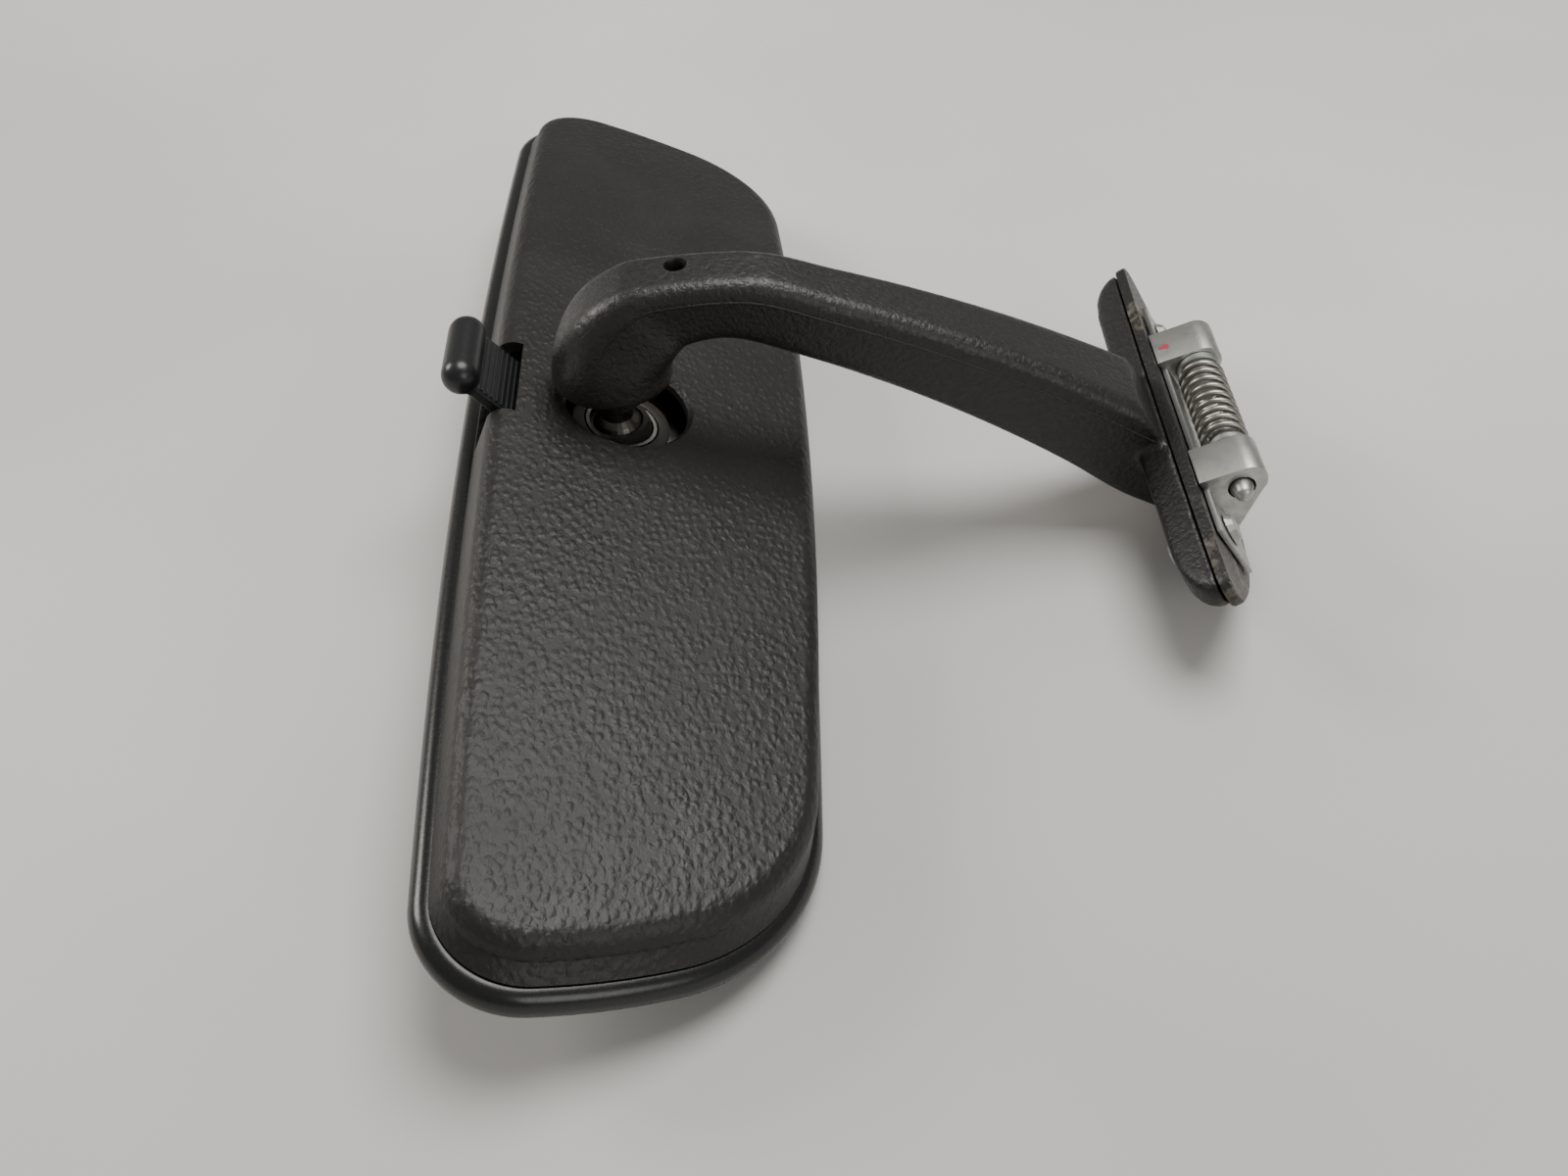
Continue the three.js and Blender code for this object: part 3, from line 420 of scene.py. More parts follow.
def bake(obj: Piece) -> Piece:
    """Apply the object's modifiers to its own mesh."""
    graph = bpy.context.evaluated_depsgraph_get()
    graph.update()
    mesh = bpy.data.meshes.new_from_object(obj.evaluated_get(graph), depsgraph=graph)
    obj.modifiers.clear()
    old = obj.data
    obj.data = mesh
    bpy.data.meshes.remove(old)
    return obj


def combine(base: Piece, shape: Shape, place: Matrix, operation: str = "DIFFERENCE") -> None:
    """Cut a shape from a base, or join it on."""
    tool = new_object("tool", shape, place)
    modifier = base.modifiers.new("combine", "BOOLEAN")
    modifier.operation = operation
    modifier.solver = "EXACT"
    modifier.object = tool
    bake(base)
    bpy.data.objects.remove(tool)


def soften(obj: Piece, voxel_mm: float, passes: int) -> None:
    """Rebuild the surface on a fine grid and relax it, which rounds edges as a casting's are."""
    remesh = obj.modifiers.new("remesh", "REMESH")
    remesh.mode = "VOXEL"
    remesh.voxel_size = voxel_mm * MM
    smooth = obj.modifiers.new("smooth", "SMOOTH")
    smooth.factor = 0.5
    smooth.iterations = passes
    bake(obj)


def round_edges(obj: Piece, width_mm: float) -> None:
    """Round the edges sharper than 30 degrees."""
    weld = obj.modifiers.new("weld", "WELD")
    weld.merge_threshold = 1e-6
    bevel = obj.modifiers.new("bevel", "BEVEL")
    bevel.width = width_mm * MM
    bevel.segments = 3
    bevel.limit_method = "ANGLE"
    bevel.angle_limit = radians(30)


def shade(obj: Piece, degrees: float) -> Piece:
    """Shade smooth, with edges sharper than an angle kept sharp."""
    obj.data.shade_smooth()
    obj.data.set_sharp_from_angle(angle=radians(degrees))
    return obj


def finish_piece(
    obj: Piece, material: Material, body: Body, nodes: Sequence[str] = ()
) -> None:
    """Give a piece its material, its body and the nodes it stands for."""
    obj.data.materials.clear()
    obj.data.materials.append(material)
    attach(obj, body.value)
    if nodes:
        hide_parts(*nodes)
    log.info("piece %s: %d faces", obj.name, len(obj.data.polygons))


# ---------------- geometry nodes


class NodeForm:
    """A Geometry Nodes group with named inputs, built in the script and baked to a mesh."""

    def __init__(self, name: str, inputs: dict[str, float]) -> None:
        """Open the group with its inputs and their defaults."""
        self.tree = bpy.data.node_groups.new(name, "GeometryNodeTree")
        face = self.tree.interface
        face.new_socket("Geometry", in_out="OUTPUT", socket_type="NodeSocketGeometry")
        self.identifiers = {}
        for key, value in inputs.items():
            kind = "NodeSocketInt" if isinstance(value, int) else "NodeSocketFloat"
            socket = face.new_socket(key, in_out="INPUT", socket_type=kind)
            socket.default_value = value
            self.identifiers[key] = socket.identifier
        material = face.new_socket("Material", in_out="INPUT", socket_type="NodeSocketMaterial")
        self.identifiers["Material"] = material.identifier
        self.source = self.tree.nodes.new("NodeGroupInput")
        self.sink = self.tree.nodes.new("NodeGroupOutput")

    def end(self, geometry: Socket) -> None:
        """Close the group: realised instances that carry the material."""
        real = add_node(self.tree, "GeometryNodeRealizeInstances", Geometry=geometry)
        painted = add_node(self.tree, "GeometryNodeSetMaterial", Geometry=real.outputs["Geometry"])
        self.tree.links.new(self.source.outputs["Material"], painted.inputs["Material"])
        self.tree.links.new(painted.outputs["Geometry"], self.sink.inputs["Geometry"])

    def tube(self, curve: Socket, radius: Socket, sides: int) -> Socket:
        """A round bar of a given radius along a curve."""
        wire = add_node(self.tree, "GeometryNodeCurvePrimitiveCircle", Resolution=sides, Radius=radius)
        along = {"Curve": curve, "Profile Curve": wire.outputs["Curve"], "Fill Caps": True}
        return add_node(self.tree, "GeometryNodeCurveToMesh", **along).outputs["Mesh"]

    def make(self, name: str, values: dict, place: Matrix) -> Piece:
        """Bake the group to a mesh object.

        Args:
            name: the piece's name.
            values: input name to value.
            place: the local frame in the row frame.

        Returns:
            The baked object.
        """
        obj = linked(name, bpy.data.meshes.new(name))
        modifier = obj.modifiers.new("form", "NODES")
        modifier.node_group = self.tree
        for key, value in values.items():
            modifier[self.identifiers[key]] = value
        bake(obj)
        obj.data.transform(place)
        return obj


def coil_form() -> NodeForm:
    """A compression spring along z: a helix of round wire."""
    form = NodeForm("coil_spring", {"Turns": 9.0, "Radius": 3.75, "Length": 20.0, "Wire": 0.6})
    tree, inputs = form.tree, form.source.outputs
    spiral = add_node(
        tree,
        "GeometryNodeCurveSpiral",
        Resolution=40,
        Rotations=inputs["Turns"],
        Start_Radius=inputs["Radius"],
        End_Radius=inputs["Radius"],
        Height=inputs["Length"],
    )
    form.end(form.tube(spiral.outputs["Curve"], inputs["Wire"], 16))
    return form


def ridge_form() -> NodeForm:
    """A row of rounded ridges, each along x, spaced along y."""
    form = NodeForm("grip_ridges", {"Count": 8, "Pitch": 1.2, "Length": 14.0, "Radius": 0.35})
    tree, inputs = form.tree, form.source.outputs
    offset = add_node(tree, "ShaderNodeCombineXYZ", Y=inputs["Pitch"])
    row = add_node(tree, "GeometryNodeMeshLine", Count=inputs["Count"], Offset=offset.outputs["Vector"])
    ends = []
    for share in (-0.5, 0.5):
        at = add_node(tree, "ShaderNodeMath", {"operation": "MULTIPLY"}, i0=inputs["Length"], i1=share)
        ends.append(add_node(tree, "ShaderNodeCombineXYZ", X=at.outputs[0]).outputs["Vector"])
    line = add_node(tree, "GeometryNodeCurvePrimitiveLine", Start=ends[0], End=ends[1])
    bar = form.tube(line.outputs["Curve"], inputs["Radius"], 14)
    bars = {"Points": row.outputs["Mesh"], "Instance": bar}
    copies = add_node(tree, "GeometryNodeInstanceOnPoints", **bars)
    form.end(copies.outputs["Instances"])
    return form


# ---------------- mirror head


@dataclass
class HeadOutline:
    """The head's outline: four bowed sides with rounded corners, longer on the lever edge."""

    half_length_lever: float = 119
    half_length_roof: float = 101
    half_height_lever: float = 29.7
    half_height_roof: float = 31
    bow_lever: float = 3.8
    bow_roof: float = 3.1
    bow_end: float = 4.4
    corner_lever: float = 16
    corner_roof: float = 35
    end_steps: int = 14
    long_steps: int = 61
    corner_steps: int = 28

    def __post_init__(self) -> None:
        """Sample the outline as points with their outward normals."""
        corners = [
            Vector((self.half_length_roof, -self.half_height_roof)),
            Vector((self.half_length_lever, self.half_height_lever)),
            Vector((-self.half_length_lever, self.half_height_lever)),
            Vector((-self.half_length_roof, -self.half_height_roof)),
        ]
        bows = [self.bow_end, self.bow_lever, self.bow_end, self.bow_roof]
        rounds = [self.corner_roof, self.corner_lever, self.corner_lever, self.corner_roof]
        steps = [self.end_steps, self.long_steps, self.end_steps, self.long_steps]
        sides = [self.side(corners[i], corners[(i + 1) % 4], bows[i]) for i in range(4)]
        centers = [self.rounding(sides[i - 1], sides[i], rounds[i], corners[i]) for i in range(4)]
        self.samples: list[tuple[Vector, Vector]] = []
        for i in range(4):
            after = (i + 1) % 4
            center, radius = sides[i]
            first, last = self.angle(center, centers[i]), self.angle(center, centers[after])
            self.arc(center, radius, first, last, steps[i])
            turned = self.angle(sides[after][0], centers[after])
            self.arc(centers[after], rounds[after], last, turned, self.corner_steps)
        half = self.end_steps // 2
        self.samples = self.samples[half:] + self.samples[:half]

    @staticmethod
    def side(start: Vector, end: Vector, bow: float) -> tuple[Vector, float]:
        """The circle through two corners that bulges outward by bow."""
        chord = end - start
        radius = (chord.length_squared / 4 + bow * bow) / (2 * bow)
        outward = Vector((chord.y, -chord.x)).normalized()
        return (start + end) / 2 + outward * (bow - radius), radius

    @staticmethod
    def rounding(one: tuple, two: tuple, radius: float, corner: Vector) -> Vector:
        """The centre of a rounding that touches two circles from inside."""
        r1, r2 = one[1] - radius, two[1] - radius
        across = two[0] - one[0]
        d = across.length
        along = (r1 * r1 - r2 * r2 + d * d) / (2 * d)
        up = sqrt(r1 * r1 - along * along)
        unit = across / d
        foot = one[0] + unit * along
        side = Vector((-unit.y, unit.x))
        return min((foot + side * up, foot - side * up), key=lambda p: (p - corner).length)

    @staticmethod
    def angle(a: Vector, b: Vector) -> float:
        """The direction from a to b."""
        return atan2(b.y - a.y, b.x - a.x)

    def arc(self, center: Vector, radius: float, first: float, last: float, count: int) -> None:
        """Add an arc's points and normals, without its last point."""
        sweep = (last - first + pi) % (2 * pi) - pi
        for k in range(count):
            at = first + sweep * k / count
            normal = Vector((cos(at), sin(at)))
            self.samples.append((center + normal * radius, normal))

    def ring(self, end: float, long: float, height: float | Height) -> list[Vector]:
        """A ring inside the outline by one inset at the ends and another on the long sides."""
        ring = []
        for point, normal in self.samples:
            share = normal.y**2
            at = point - normal * (end * (1 - share) + long * share)
            z = height if isinstance(height, (int, float)) else height(at.x, at.y)
            ring.append(Vector((at.x, at.y, z)))
        return ring


@dataclass
class MirrorCase:
    """The moulded case: back shell, bezel and prismatic glass."""

    outline: HeadOutline
    wall: float = 2
    foot: float = 3.3
    seat: float = 2.6
    edge: float = 3.5
    wall_end: float = 5.0
    wall_long: float = 3.6
    at_ends: float = 8.2
    crown: float = 7.5
    hole_y: float = 5.3
    ball_z: float = 8.8
    hole_radius: float = 11.6
    bevel: float = 0.8
    notch_x: float = 1.2
    notch_half: float = 9.8
    notch_y: float = 25.2
    notch_z: float = 4.5
    bead: float = 2.85
    trim: float = 0.12
    lip_depth: float = 3.3
    lip_inset: float = 6.5
    lip: float = 1.4
    pocket: float = 4.6
    glass_thin: float = 2.4
    glass_thick: float = 4.8
    gap: float = 0.3

    def back(self, x: float) -> float:
        """Height of the crowned back along the length."""
        return self.at_ends + self.crown * (1 - (x / self.outline.half_length_lever) ** 2)

    def form(self, offset: float, foot: float) -> Shape:
        """The shell's outer form, or its inner form when offset is the wall."""
        rounding = max(self.edge - offset / 2, 1)
        rings = [self.outline.ring(self.seat + offset, self.seat + offset, foot)]
        steps = 10
        for k in range(steps + 1):
            turn = k / steps * pi / 2
            inward = offset + rounding * (1 - cos(turn))
            drop = offset + rounding * (1 - sin(turn))
            end, long = self.wall_end + inward, self.wall_long + inward
            rings.append(self.outline.ring(end, long, lambda x, y: self.back(x) - drop))
        return skin(rings)

    def shell(self, place: Matrix) -> Piece:
        """The back shell with its ball hole, bevelled rim and lever notch."""
        shell = new_object("case_shell", self.form(0, self.foot), place)
        combine(shell, self.form(self.wall, self.foot - self.wall), place)
        top = self.back(0)
        shift = Matrix.Translation((0, self.hole_y, 0))
        profile = [
            (self.hole_radius, top - 9),
            (self.hole_radius, top - self.bevel),
            (self.hole_radius + self.bevel, top - 0.05),
            (self.hole_radius + self.bevel * 3, top + 2),
        ]
        combine(shell, lathe(profile, 128), place @ shift)
        left, right = self.notch_x - self.notch_half, self.notch_x + self.notch_half
        combine(shell, block((left, self.notch_y, self.notch_z), (right, 60, top + 5)), place)
        return shade(shell, 28)

    def bezel(self, place: Matrix) -> Piece:
        """The bead that frames the glass, as one hoop."""
        profile = []
        for k in range(25):
            turn = pi / 2 + k / 24 * pi
            profile.append((self.trim + self.bead * (1 + cos(turn)), self.bead * sin(turn)))
        inner = self.lip - self.lip_depth
        profile += [(self.pocket + 0.4, -self.lip_depth), (self.lip_inset - 0.3, -self.lip_depth)]
        profile += [(self.lip_inset, -self.lip_depth + 0.3), (self.lip_inset, inner)]
        profile += [(self.pocket, inner), (self.pocket, self.bead)]
        rings = [self.outline.ring(inset, inset, z) for inset, z in profile]
        bezel = new_object("glass_bezel", skin(rings, closed=True), place)
        return shade(bezel, 40)

    def glass(self, place: Matrix) -> Piece:
        """The wedge of glass with a ground edge."""
        front = self.lip - self.lip_depth + self.gap
        tall = self.outline.half_height_lever + self.outline.half_height_roof

        def rear(_: float, y: float) -> float:
            """The silvered side, thicker toward the roof."""
            share = (self.outline.half_height_lever - y) / tall
            return front + self.glass_thin + (self.glass_thick - self.glass_thin) * share

        inset, ground = self.pocket + self.gap, 0.4
        rings = [
            self.outline.ring(inset + ground, inset + ground, front),
            self.outline.ring(inset, inset, front + ground),
            self.outline.ring(inset, inset, lambda x, y: rear(x, y) - ground),
            self.outline.ring(inset + ground, inset + ground, rear),
        ]
        glass = new_object("prism_glass", skin(rings), place)
        return shade(glass, 20)


@dataclass
class Lever:
    """The day/night lever: a round-ended grip on a ribbed web."""

    y: float = 20
    z: float = 8.2
    rise: float = radians(32)
    reach: float = 18.4
    web: float = 2
    web_half: float = 8.2
    offset: float = 1.2
    hub: float = 2.2
    hub_half: float = 11
    grip: float = 3.4
    length: float = 18.8
    ridge_count: int = 7
    ridge_pitch: float = 1.15
    ridge_radius: float = 0.36
    ridge_margin: float = 0.7
    ridge_start: float = 7.4
    ridge_sink: float = 0.12

    def tilted(self, place: Matrix) -> Matrix:
        """The web's frame: on the hub's axis, with y along the web."""
        return place @ Matrix.Translation((0, self.y, self.z)) @ Matrix.Rotation(self.rise, 4, "X")

    def body(self, place: Matrix) -> Piece:
        """Grip, web and hub as one soft-edged moulding."""
        tilt = self.tilted(place)
        hub = [(self.hub, -self.hub_half), (self.hub, self.hub_half)]
        own = place @ Matrix.Translation((0, self.y, self.z))
        lever = new_object("lever_moulding", lathe(hub, 40, "x"), own)
        low = (self.offset - self.web_half, 0, -self.web / 2)
        high = (self.offset + self.web_half, self.reach, self.web / 2)
        combine(lever, block(low, high), tilt, "UNION")
        straight = self.length / 2 - self.grip
        profile = []
        for k in range(13):
            turn = k / 12 * pi / 2
            profile.append((self.grip * sin(turn) + 1e-3, -straight - self.grip * cos(turn)))
        profile += [(r, -x) for r, x in reversed(profile)]
        at_grip = tilt @ Matrix.Translation((self.offset, self.reach, 0))
        combine(lever, lathe(profile, 64, "x"), at_grip, "UNION")
        soften(lever, voxel_mm=0.28, passes=6)
        return shade(lever, 60)

    def ridges(self, place: Matrix, form: NodeForm, material: Material) -> Piece:
        """The ridges moulded across the web's upper side."""
        shift = Matrix.Translation((self.offset, self.ridge_start, self.web / 2 - self.ridge_sink))
        values = {
            "Count": self.ridge_count,
            "Pitch": self.ridge_pitch,
            "Length": 2 * (self.web_half - self.ridge_margin),
            "Radius": self.ridge_radius,
            "Material": material,
        }
        return form.make("lever_ridges", values, self.tilted(place) @ shift)


# ---------------- arm and foot


def rounded_section(
    center: Vector, up: Vector, across: Vector, rounding: float, steps: int = 12
) -> list[Vector]:
    """A rounded rectangle spanned by two half-size vectors."""
    height, width = up.length, across.length
    radius = min(rounding, height, width)
    unit_up, unit_across = up.normalized(), across.normalized()
    ring = []
    for corner in range(4):
        sx = 1 if corner in (0, 3) else -1
        sy = 1 if corner < 2 else -1
        for k in range(steps):
            turn = (corner + (k + 0.5) / steps) * pi / 2
            a = sx * (width - radius) + radius * cos(turn)
            b = sy * (height - radius) + radius * sin(turn)
            ring.append(center + unit_across * a + unit_up * b)
    return ring


def flowing(knots: list[list[Vector]], steps: int) -> list[list[Vector]]:
    """Rings that pass smoothly through the given ones, each point on its own spline."""
    rings = []
    last = len(knots) - 1
    for k in range(last):
        before, after = knots[max(k - 1, 0)], knots[min(k + 2, last)]
        for step in range(steps):
            t = step / steps
            ring = []
            for p0, p1, p2, p3 in zip(before, knots[k], knots[k + 1], after):
                bend = (2 * p0 - 5 * p1 + 4 * p2 - p3) * t * t + (3 * p1 - p0 - 3 * p2 + p3) * t**3
                ring.append(p1 + 0.5 * ((p2 - p0) * t + bend))
            rings.append(ring)
    rings.append(knots[-1])
    return rings


@dataclass
class Foot:
    """The half-moon foot: cast slab, thin base plate and the parts on its face."""

    lean: float = radians(34)
    half: float = 48
    depth: float = 25.8
    bow: float = 1.2
    tip: float = 3.4
    plate: float = 2
    slab: float = 6
    margin: float = 0.9
    draft: float = 3.6
    draft_end: float = 10
    recess: float = 0.2
    gap: float = 0.3

    def ring(self, half: float, depth: float, z: float) -> list[Vector]:
        """A half-moon ring: straight edge on top, deep arc below, round tips."""
        a, sag = half - self.tip, depth - 2 * self.tip
        below = (a * a + sag * sag) / (2 * sag)
        above = (a * a + self.bow * self.bow) / (2 * self.bow)
        under = (0.0, -self.tip + below - sag)
        over = (0.0, -self.tip + self.bow - above)
        wide, narrow = asin(a / below), asin(a / above)
        down, up = -pi / 2, pi / 2
        arcs = [
            ((a, -self.tip), self.tip, down + wide, up - narrow, 16),
            (over, above + self.tip, up - narrow, up + narrow, 24),
            ((-a, -self.tip), self.tip, up + narrow, down - wide + 2 * pi, 16),
            (under, below + self.tip, down - wide, down + wide, 56),
        ]
        ring = []
        for center, radius, first, last, count in arcs:
            for k in range(count):
                at = first + (last - first) * k / count
                x, y = center[0] + radius * cos(at), center[1] + radius * sin(at)
                ring.append(Vector((x, y, z)))
        return ring

    def base_plate(self, place: Matrix) -> Piece:
        """The thin plate between the slab and the bracket."""
        round_off = 0.35
        levels = [(-self.plate, round_off), (-self.plate + round_off, 0), (-round_off, 0), (0, round_off)]
        rings = [self.ring(self.half - inset, self.depth - inset, z) for z, inset in levels]
        plate = new_object("worn_base_plate", skin(rings), place)
        return shade(plate, 25)

    def casting_slab(self) -> Shape:
        """The cast slab, drafted toward the arm."""
        face = -self.plate - self.gap
        half, depth = self.half - self.margin, self.depth - self.margin
        steps = 8
        rings = []
        for k in range(steps + 1):
            down = k / steps
            inset = 1 - sqrt(1 - (1 - down) ** 2)
            below = depth - self.draft * (1 - down) - self.recess
            rings.append(self.ring(half - self.draft_end * inset, below, face - self.slab * (1 - down)))
        return skin(rings)


@dataclass
class PaintDab:
    """The dab of red paint on the upper side of the far ear, in the foot's frame."""

    x: float = 17.2
    z: float = 2.3
    half_width: float = 0.75
    half_height: float = 1.0
    ear_upper: tuple[float, float] = (-0.2, 0.3)
    ear_shoulder: tuple[float, float] = (-1.92, 8.04)

    def build(self, place: Matrix) -> Piece:
        """An uneven blob that follows the ear's slope and stands a little proud of it."""
        (y0, z0), (y1, z1) = self.ear_upper, self.ear_shoulder
        rings = []
        for lift, shrink in ((-0.15, 1.0), (0.03, 1.0), (0.07, 0.8)):
            ring = []
            for k in range(20):
                turn = 2 * pi * k / 20
                reach = shrink * (1 + 0.16 * sin(3 * turn + 0.7) + 0.1 * cos(5 * turn))
                x = self.x + self.half_width * reach * cos(turn)
                z = self.z + self.half_height * reach * sin(turn)
                on_ear = y0 + (y1 - y0) * (self.z + (z - self.z) / shrink - z0) / (z1 - z0)
                ring.append(Vector((x, on_ear + lift, z)))
            rings.append(ring)
        return new_object("paint_dab", skin(rings), place)


@dataclass
class Arm:
    """The cast arm from the lip over the ball to the foot."""

    lip: float = 11
    lip_height: float = 12.9
    bore: float = 9.2
    bore_depth: float = 6
    shank: float = 4.5
    shank_depth: float = 12.5
    elbow: float = 21.5
    inner: float = 6.5
    run: float = 3.5
    start: tuple[float, float] = (24.4, 15.95)
    bow: float = 3
    height: tuple[float, float] = (6.3, 9)
    width: tuple[float, float] = (6.3, 10)
    edge: float = 3
    seat: float = 3.6
    dimple: float = 1.7
    dimple_at: tuple[float, float] = (12.6, 1.5)
    dimple_depth: float = 3.0
    end_scale: tuple[float, float] = (0.85, 1.25)
    line_lift: float = 0.12
    line_radius: float = 0.3

    def sections(self, lip: Vector, meet: Vector, thickness: float) -> list[list[Vector]]:
        """Rings from the lip round the elbow and down the bowed arm, in the row frame in millimetres."""
        # Each key: outer and inner angle, then width, rounding and rise.
        keys = [(180, 180, 1.0, 1.0, 0.0), (162, 180, 0.92, 0.8, self.run), (140, 160, 0.8, 0.5, self.run)]
        keys += [(118, 135, 0.7, 0.36, self.run), (98, 112, 0.61, 0.28, self.run)]
        knots = [self.elbow_ring(lip, *key) for key in keys]
        begin = lip + Vector((self.start[0], 0, self.start[1]))
        path = meet - begin
        normal = Vector((-path.z, 0, path.x)).normalized()
        for k in range(7):
            t = k / 6
            center = begin + path * t + normal * (4 * self.bow * t * (1 - t))
            slope = (path + normal * (4 * self.bow * (1 - 2 * t))).normalized()
            high = self.height[0] + (self.height[1] - self.height[0]) * t**1.2
            wide = self.width[0] + (self.width[1] - self.width[0]) * t**1.3
            up = Vector((-slope.z, 0, slope.x)) * high
            knots.append(rounded_section(center, up, Vector((0, wide, 0)), self.edge))
        last = path.normalized()
        up = Vector((-last.z, 0, last.x)) * self.height[1] * self.end_scale[0]
        wide_end = Vector((0, self.width[1] * self.end_scale[1], 0))
        knots.append(rounded_section(meet + last * thickness * 2, up, wide_end, self.edge))
        return flowing(knots, 7)

    def elbow_ring(
        self, lip: Vector, outer: float, inner: float, width: float, rounding: float, rise: float
    ) -> list[Vector]:
        """One section of the elbow, between its outer and its inner circle."""

        def on(cx: float, cz: float, radius: float, degrees: float) -> Vector:
            """The point at an angle on a circle in the arm's plane."""
            at = radians(degrees)
            return lip + Vector((cx + radius * cos(at), 0, cz + radius * sin(at)))

        a = on(self.elbow - self.lip, 0, self.elbow, outer)
        b = on(self.lip + self.inner, rise, self.inner, inner)
        center = (a + b) / 2
        return rounded_section(center, a - center, Vector((0, self.lip * width, 0)), self.lip * rounding)

    def ends(self, ball: Vector, foot: Foot, foot_place: Matrix) -> tuple[Vector, Vector]:
        """The lip's centre, and where the arm's middle line meets the foot, in millimetres."""
        deep = -foot.plate - foot.gap - foot.slab * 0.75
        meet = (foot_place @ Vector((0, -self.seat, deep))) / MM
        return ball / MM + Vector((0, 0, self.lip_height)), meet

    def casting(self, ball: Vector, foot: Foot, foot_place: Matrix) -> Piece:
        """Arm and slab as one soft-edged casting with its bores and the small hole on top."""
        row = Matrix.Scale(MM, 4)
        lip, meet = self.ends(ball, foot, foot_place)
        face = -foot.plate - foot.gap
        casting = new_object("arm_and_foot", skin(self.sections(lip, meet, foot.slab)), row)
        combine(casting, block((-60, -60, face - foot.slab / 8), (60, 40, 80)), foot_place)
        combine(casting, foot.casting_slab(), foot_place, "UNION")
        soften(casting, voxel_mm=0.5, passes=12)
        at_lip = row @ Matrix.Translation(lip)
        wide = self.bore + 0.5
        mouth = [(wide, -2), (wide, 0.15), (self.bore, 0.7), (self.bore, self.bore_depth)]
        combine(casting, lathe(mouth, 96), at_lip)
        combine(casting, lathe([(self.shank, 0), (self.shank, self.shank_depth)], 64), at_lip)
        top = self.elbow - self.dimple_depth
        dimple = [(0.3, top - 0.6), (self.dimple, top)]
        dimple += [(self.dimple, top + 2.6), (self.dimple + 1.2, top + 5)]
        combine(casting, lathe(dimple, 48), at_lip @ Matrix.Translation((*self.dimple_at, 0)))
        return shade(casting, 38)

    def parting_line(self, ball: Vector, foot: Foot, foot_place: Matrix, side: int) -> Piece:
        """The fine ridge that the die's two halves leave high on one side of the arm."""
        rings = self.sections(*self.ends(ball, foot, foot_place), foot.slab)[14:-6]
        half = len(rings[0]) // 2
        edge = [ring[0 if side > 0 else half - 1] for ring in rings]
        flat = [ring[-1 if side > 0 else half] for ring in rings]
        path = [a.lerp(b, 0.12) + Vector((0, -side * self.line_lift, 0)) for a, b in zip(edge, flat)]
        wide, turns = self.line_radius, [2 * pi * k / 8 for k in range(8)]
        around = [Vector((0, wide * cos(t), wide * sin(t))) for t in turns]
        name = "parting_line_far" if side > 0 else "parting_line_near"
        line = new_object(name, skin([[point + a for a in around] for point in path]), Matrix.Scale(MM, 4))
        return shade(line, 60)


@dataclass
class Pins:
    """The sprung pins that snap into the roof bracket, and their spring."""

    y: float = -5.8
    z: float = 6.1
    ear_outer: float = 22
    ear_inner: float = 13
    radius: float = 2.1
    tip: float = 1.7
    tip_length: float = 1.5
    out: float = 2.9
    head: float = 4.1
    head_thickness: float = 1.5
    guide: float = 2.6
    guide_length: float = 5.5
    coil: float = 3.75
    wire: float = 0.6
    turns: float = 9
    travel: float = 3
    slack: float = 0.02
    gap: float = 0.3

    def inner_head(self) -> float:
        """Distance from the middle to the head's inner side."""
        return self.ear_inner - self.gap - self.head_thickness

    def pin(self, place: Matrix, side: int) -> Piece:
        """One pin: guide, head, stem and rounded cone."""
        low = self.inner_head()
        end = self.ear_outer + self.out
        profile = [(1e-3, low - self.guide_length), (self.guide - 0.4, low - self.guide_length)]
        profile += [(self.guide, low - self.guide_length + 0.4), (self.guide, low)]
        top, chamfer = low + self.head_thickness, 0.25
        profile += [(self.head - chamfer, low), (self.head, low + chamfer), (self.head, top - chamfer)]
        profile += [(self.head - chamfer, top), (self.radius, top)]
        profile += [(self.radius, self.ear_outer + 0.2)]
        start = end - self.tip_length
        for k in range(9):
            turn = k / 8 * pi / 2
            profile.append((self.tip * cos(turn) + 1e-3, start + self.tip_length * sin(turn)))
        shape = lathe([(r, x * side) for r, x in profile], 64, "x")
        name = "sprung_pin_far" if side > 0 else "sprung_pin_near"
        pin = new_object(name, shape, place @ Matrix.Translation((0, self.y, self.z)))
        return shade(pin, 30)

    def spring(
        self, place: Matrix, side: int, form: NodeForm, material: Material
    ) -> Piece:
        """Half of the spring between the pins' heads, from the middle to one head."""
        half = self.inner_head() - self.wire - self.gap
        values = {
            "Turns": self.turns / 2,
            "Radius": self.coil,
            "Length": half,
            "Wire": self.wire,
            "Material": material,
        }
        turn = Matrix.Rotation(pi / 2, 4, "Y")
        start = Matrix.Translation((-half if side < 0 else 0, self.y, self.z))
        phase = Matrix.Rotation(0 if side < 0 else pi, 4, "Z")
        name = "coil_spring_far" if side > 0 else "coil_spring_near"
        coil = form.make(name, values, place @ start @ turn @ phase)
        return shade(coil, 60)

    def keep(self) -> float:
        """The share of half the spring's length that stays when its pin is pushed in."""
        half = self.inner_head() - self.gap
        return (half - self.travel) / half - self.slack


# ---------------- frames


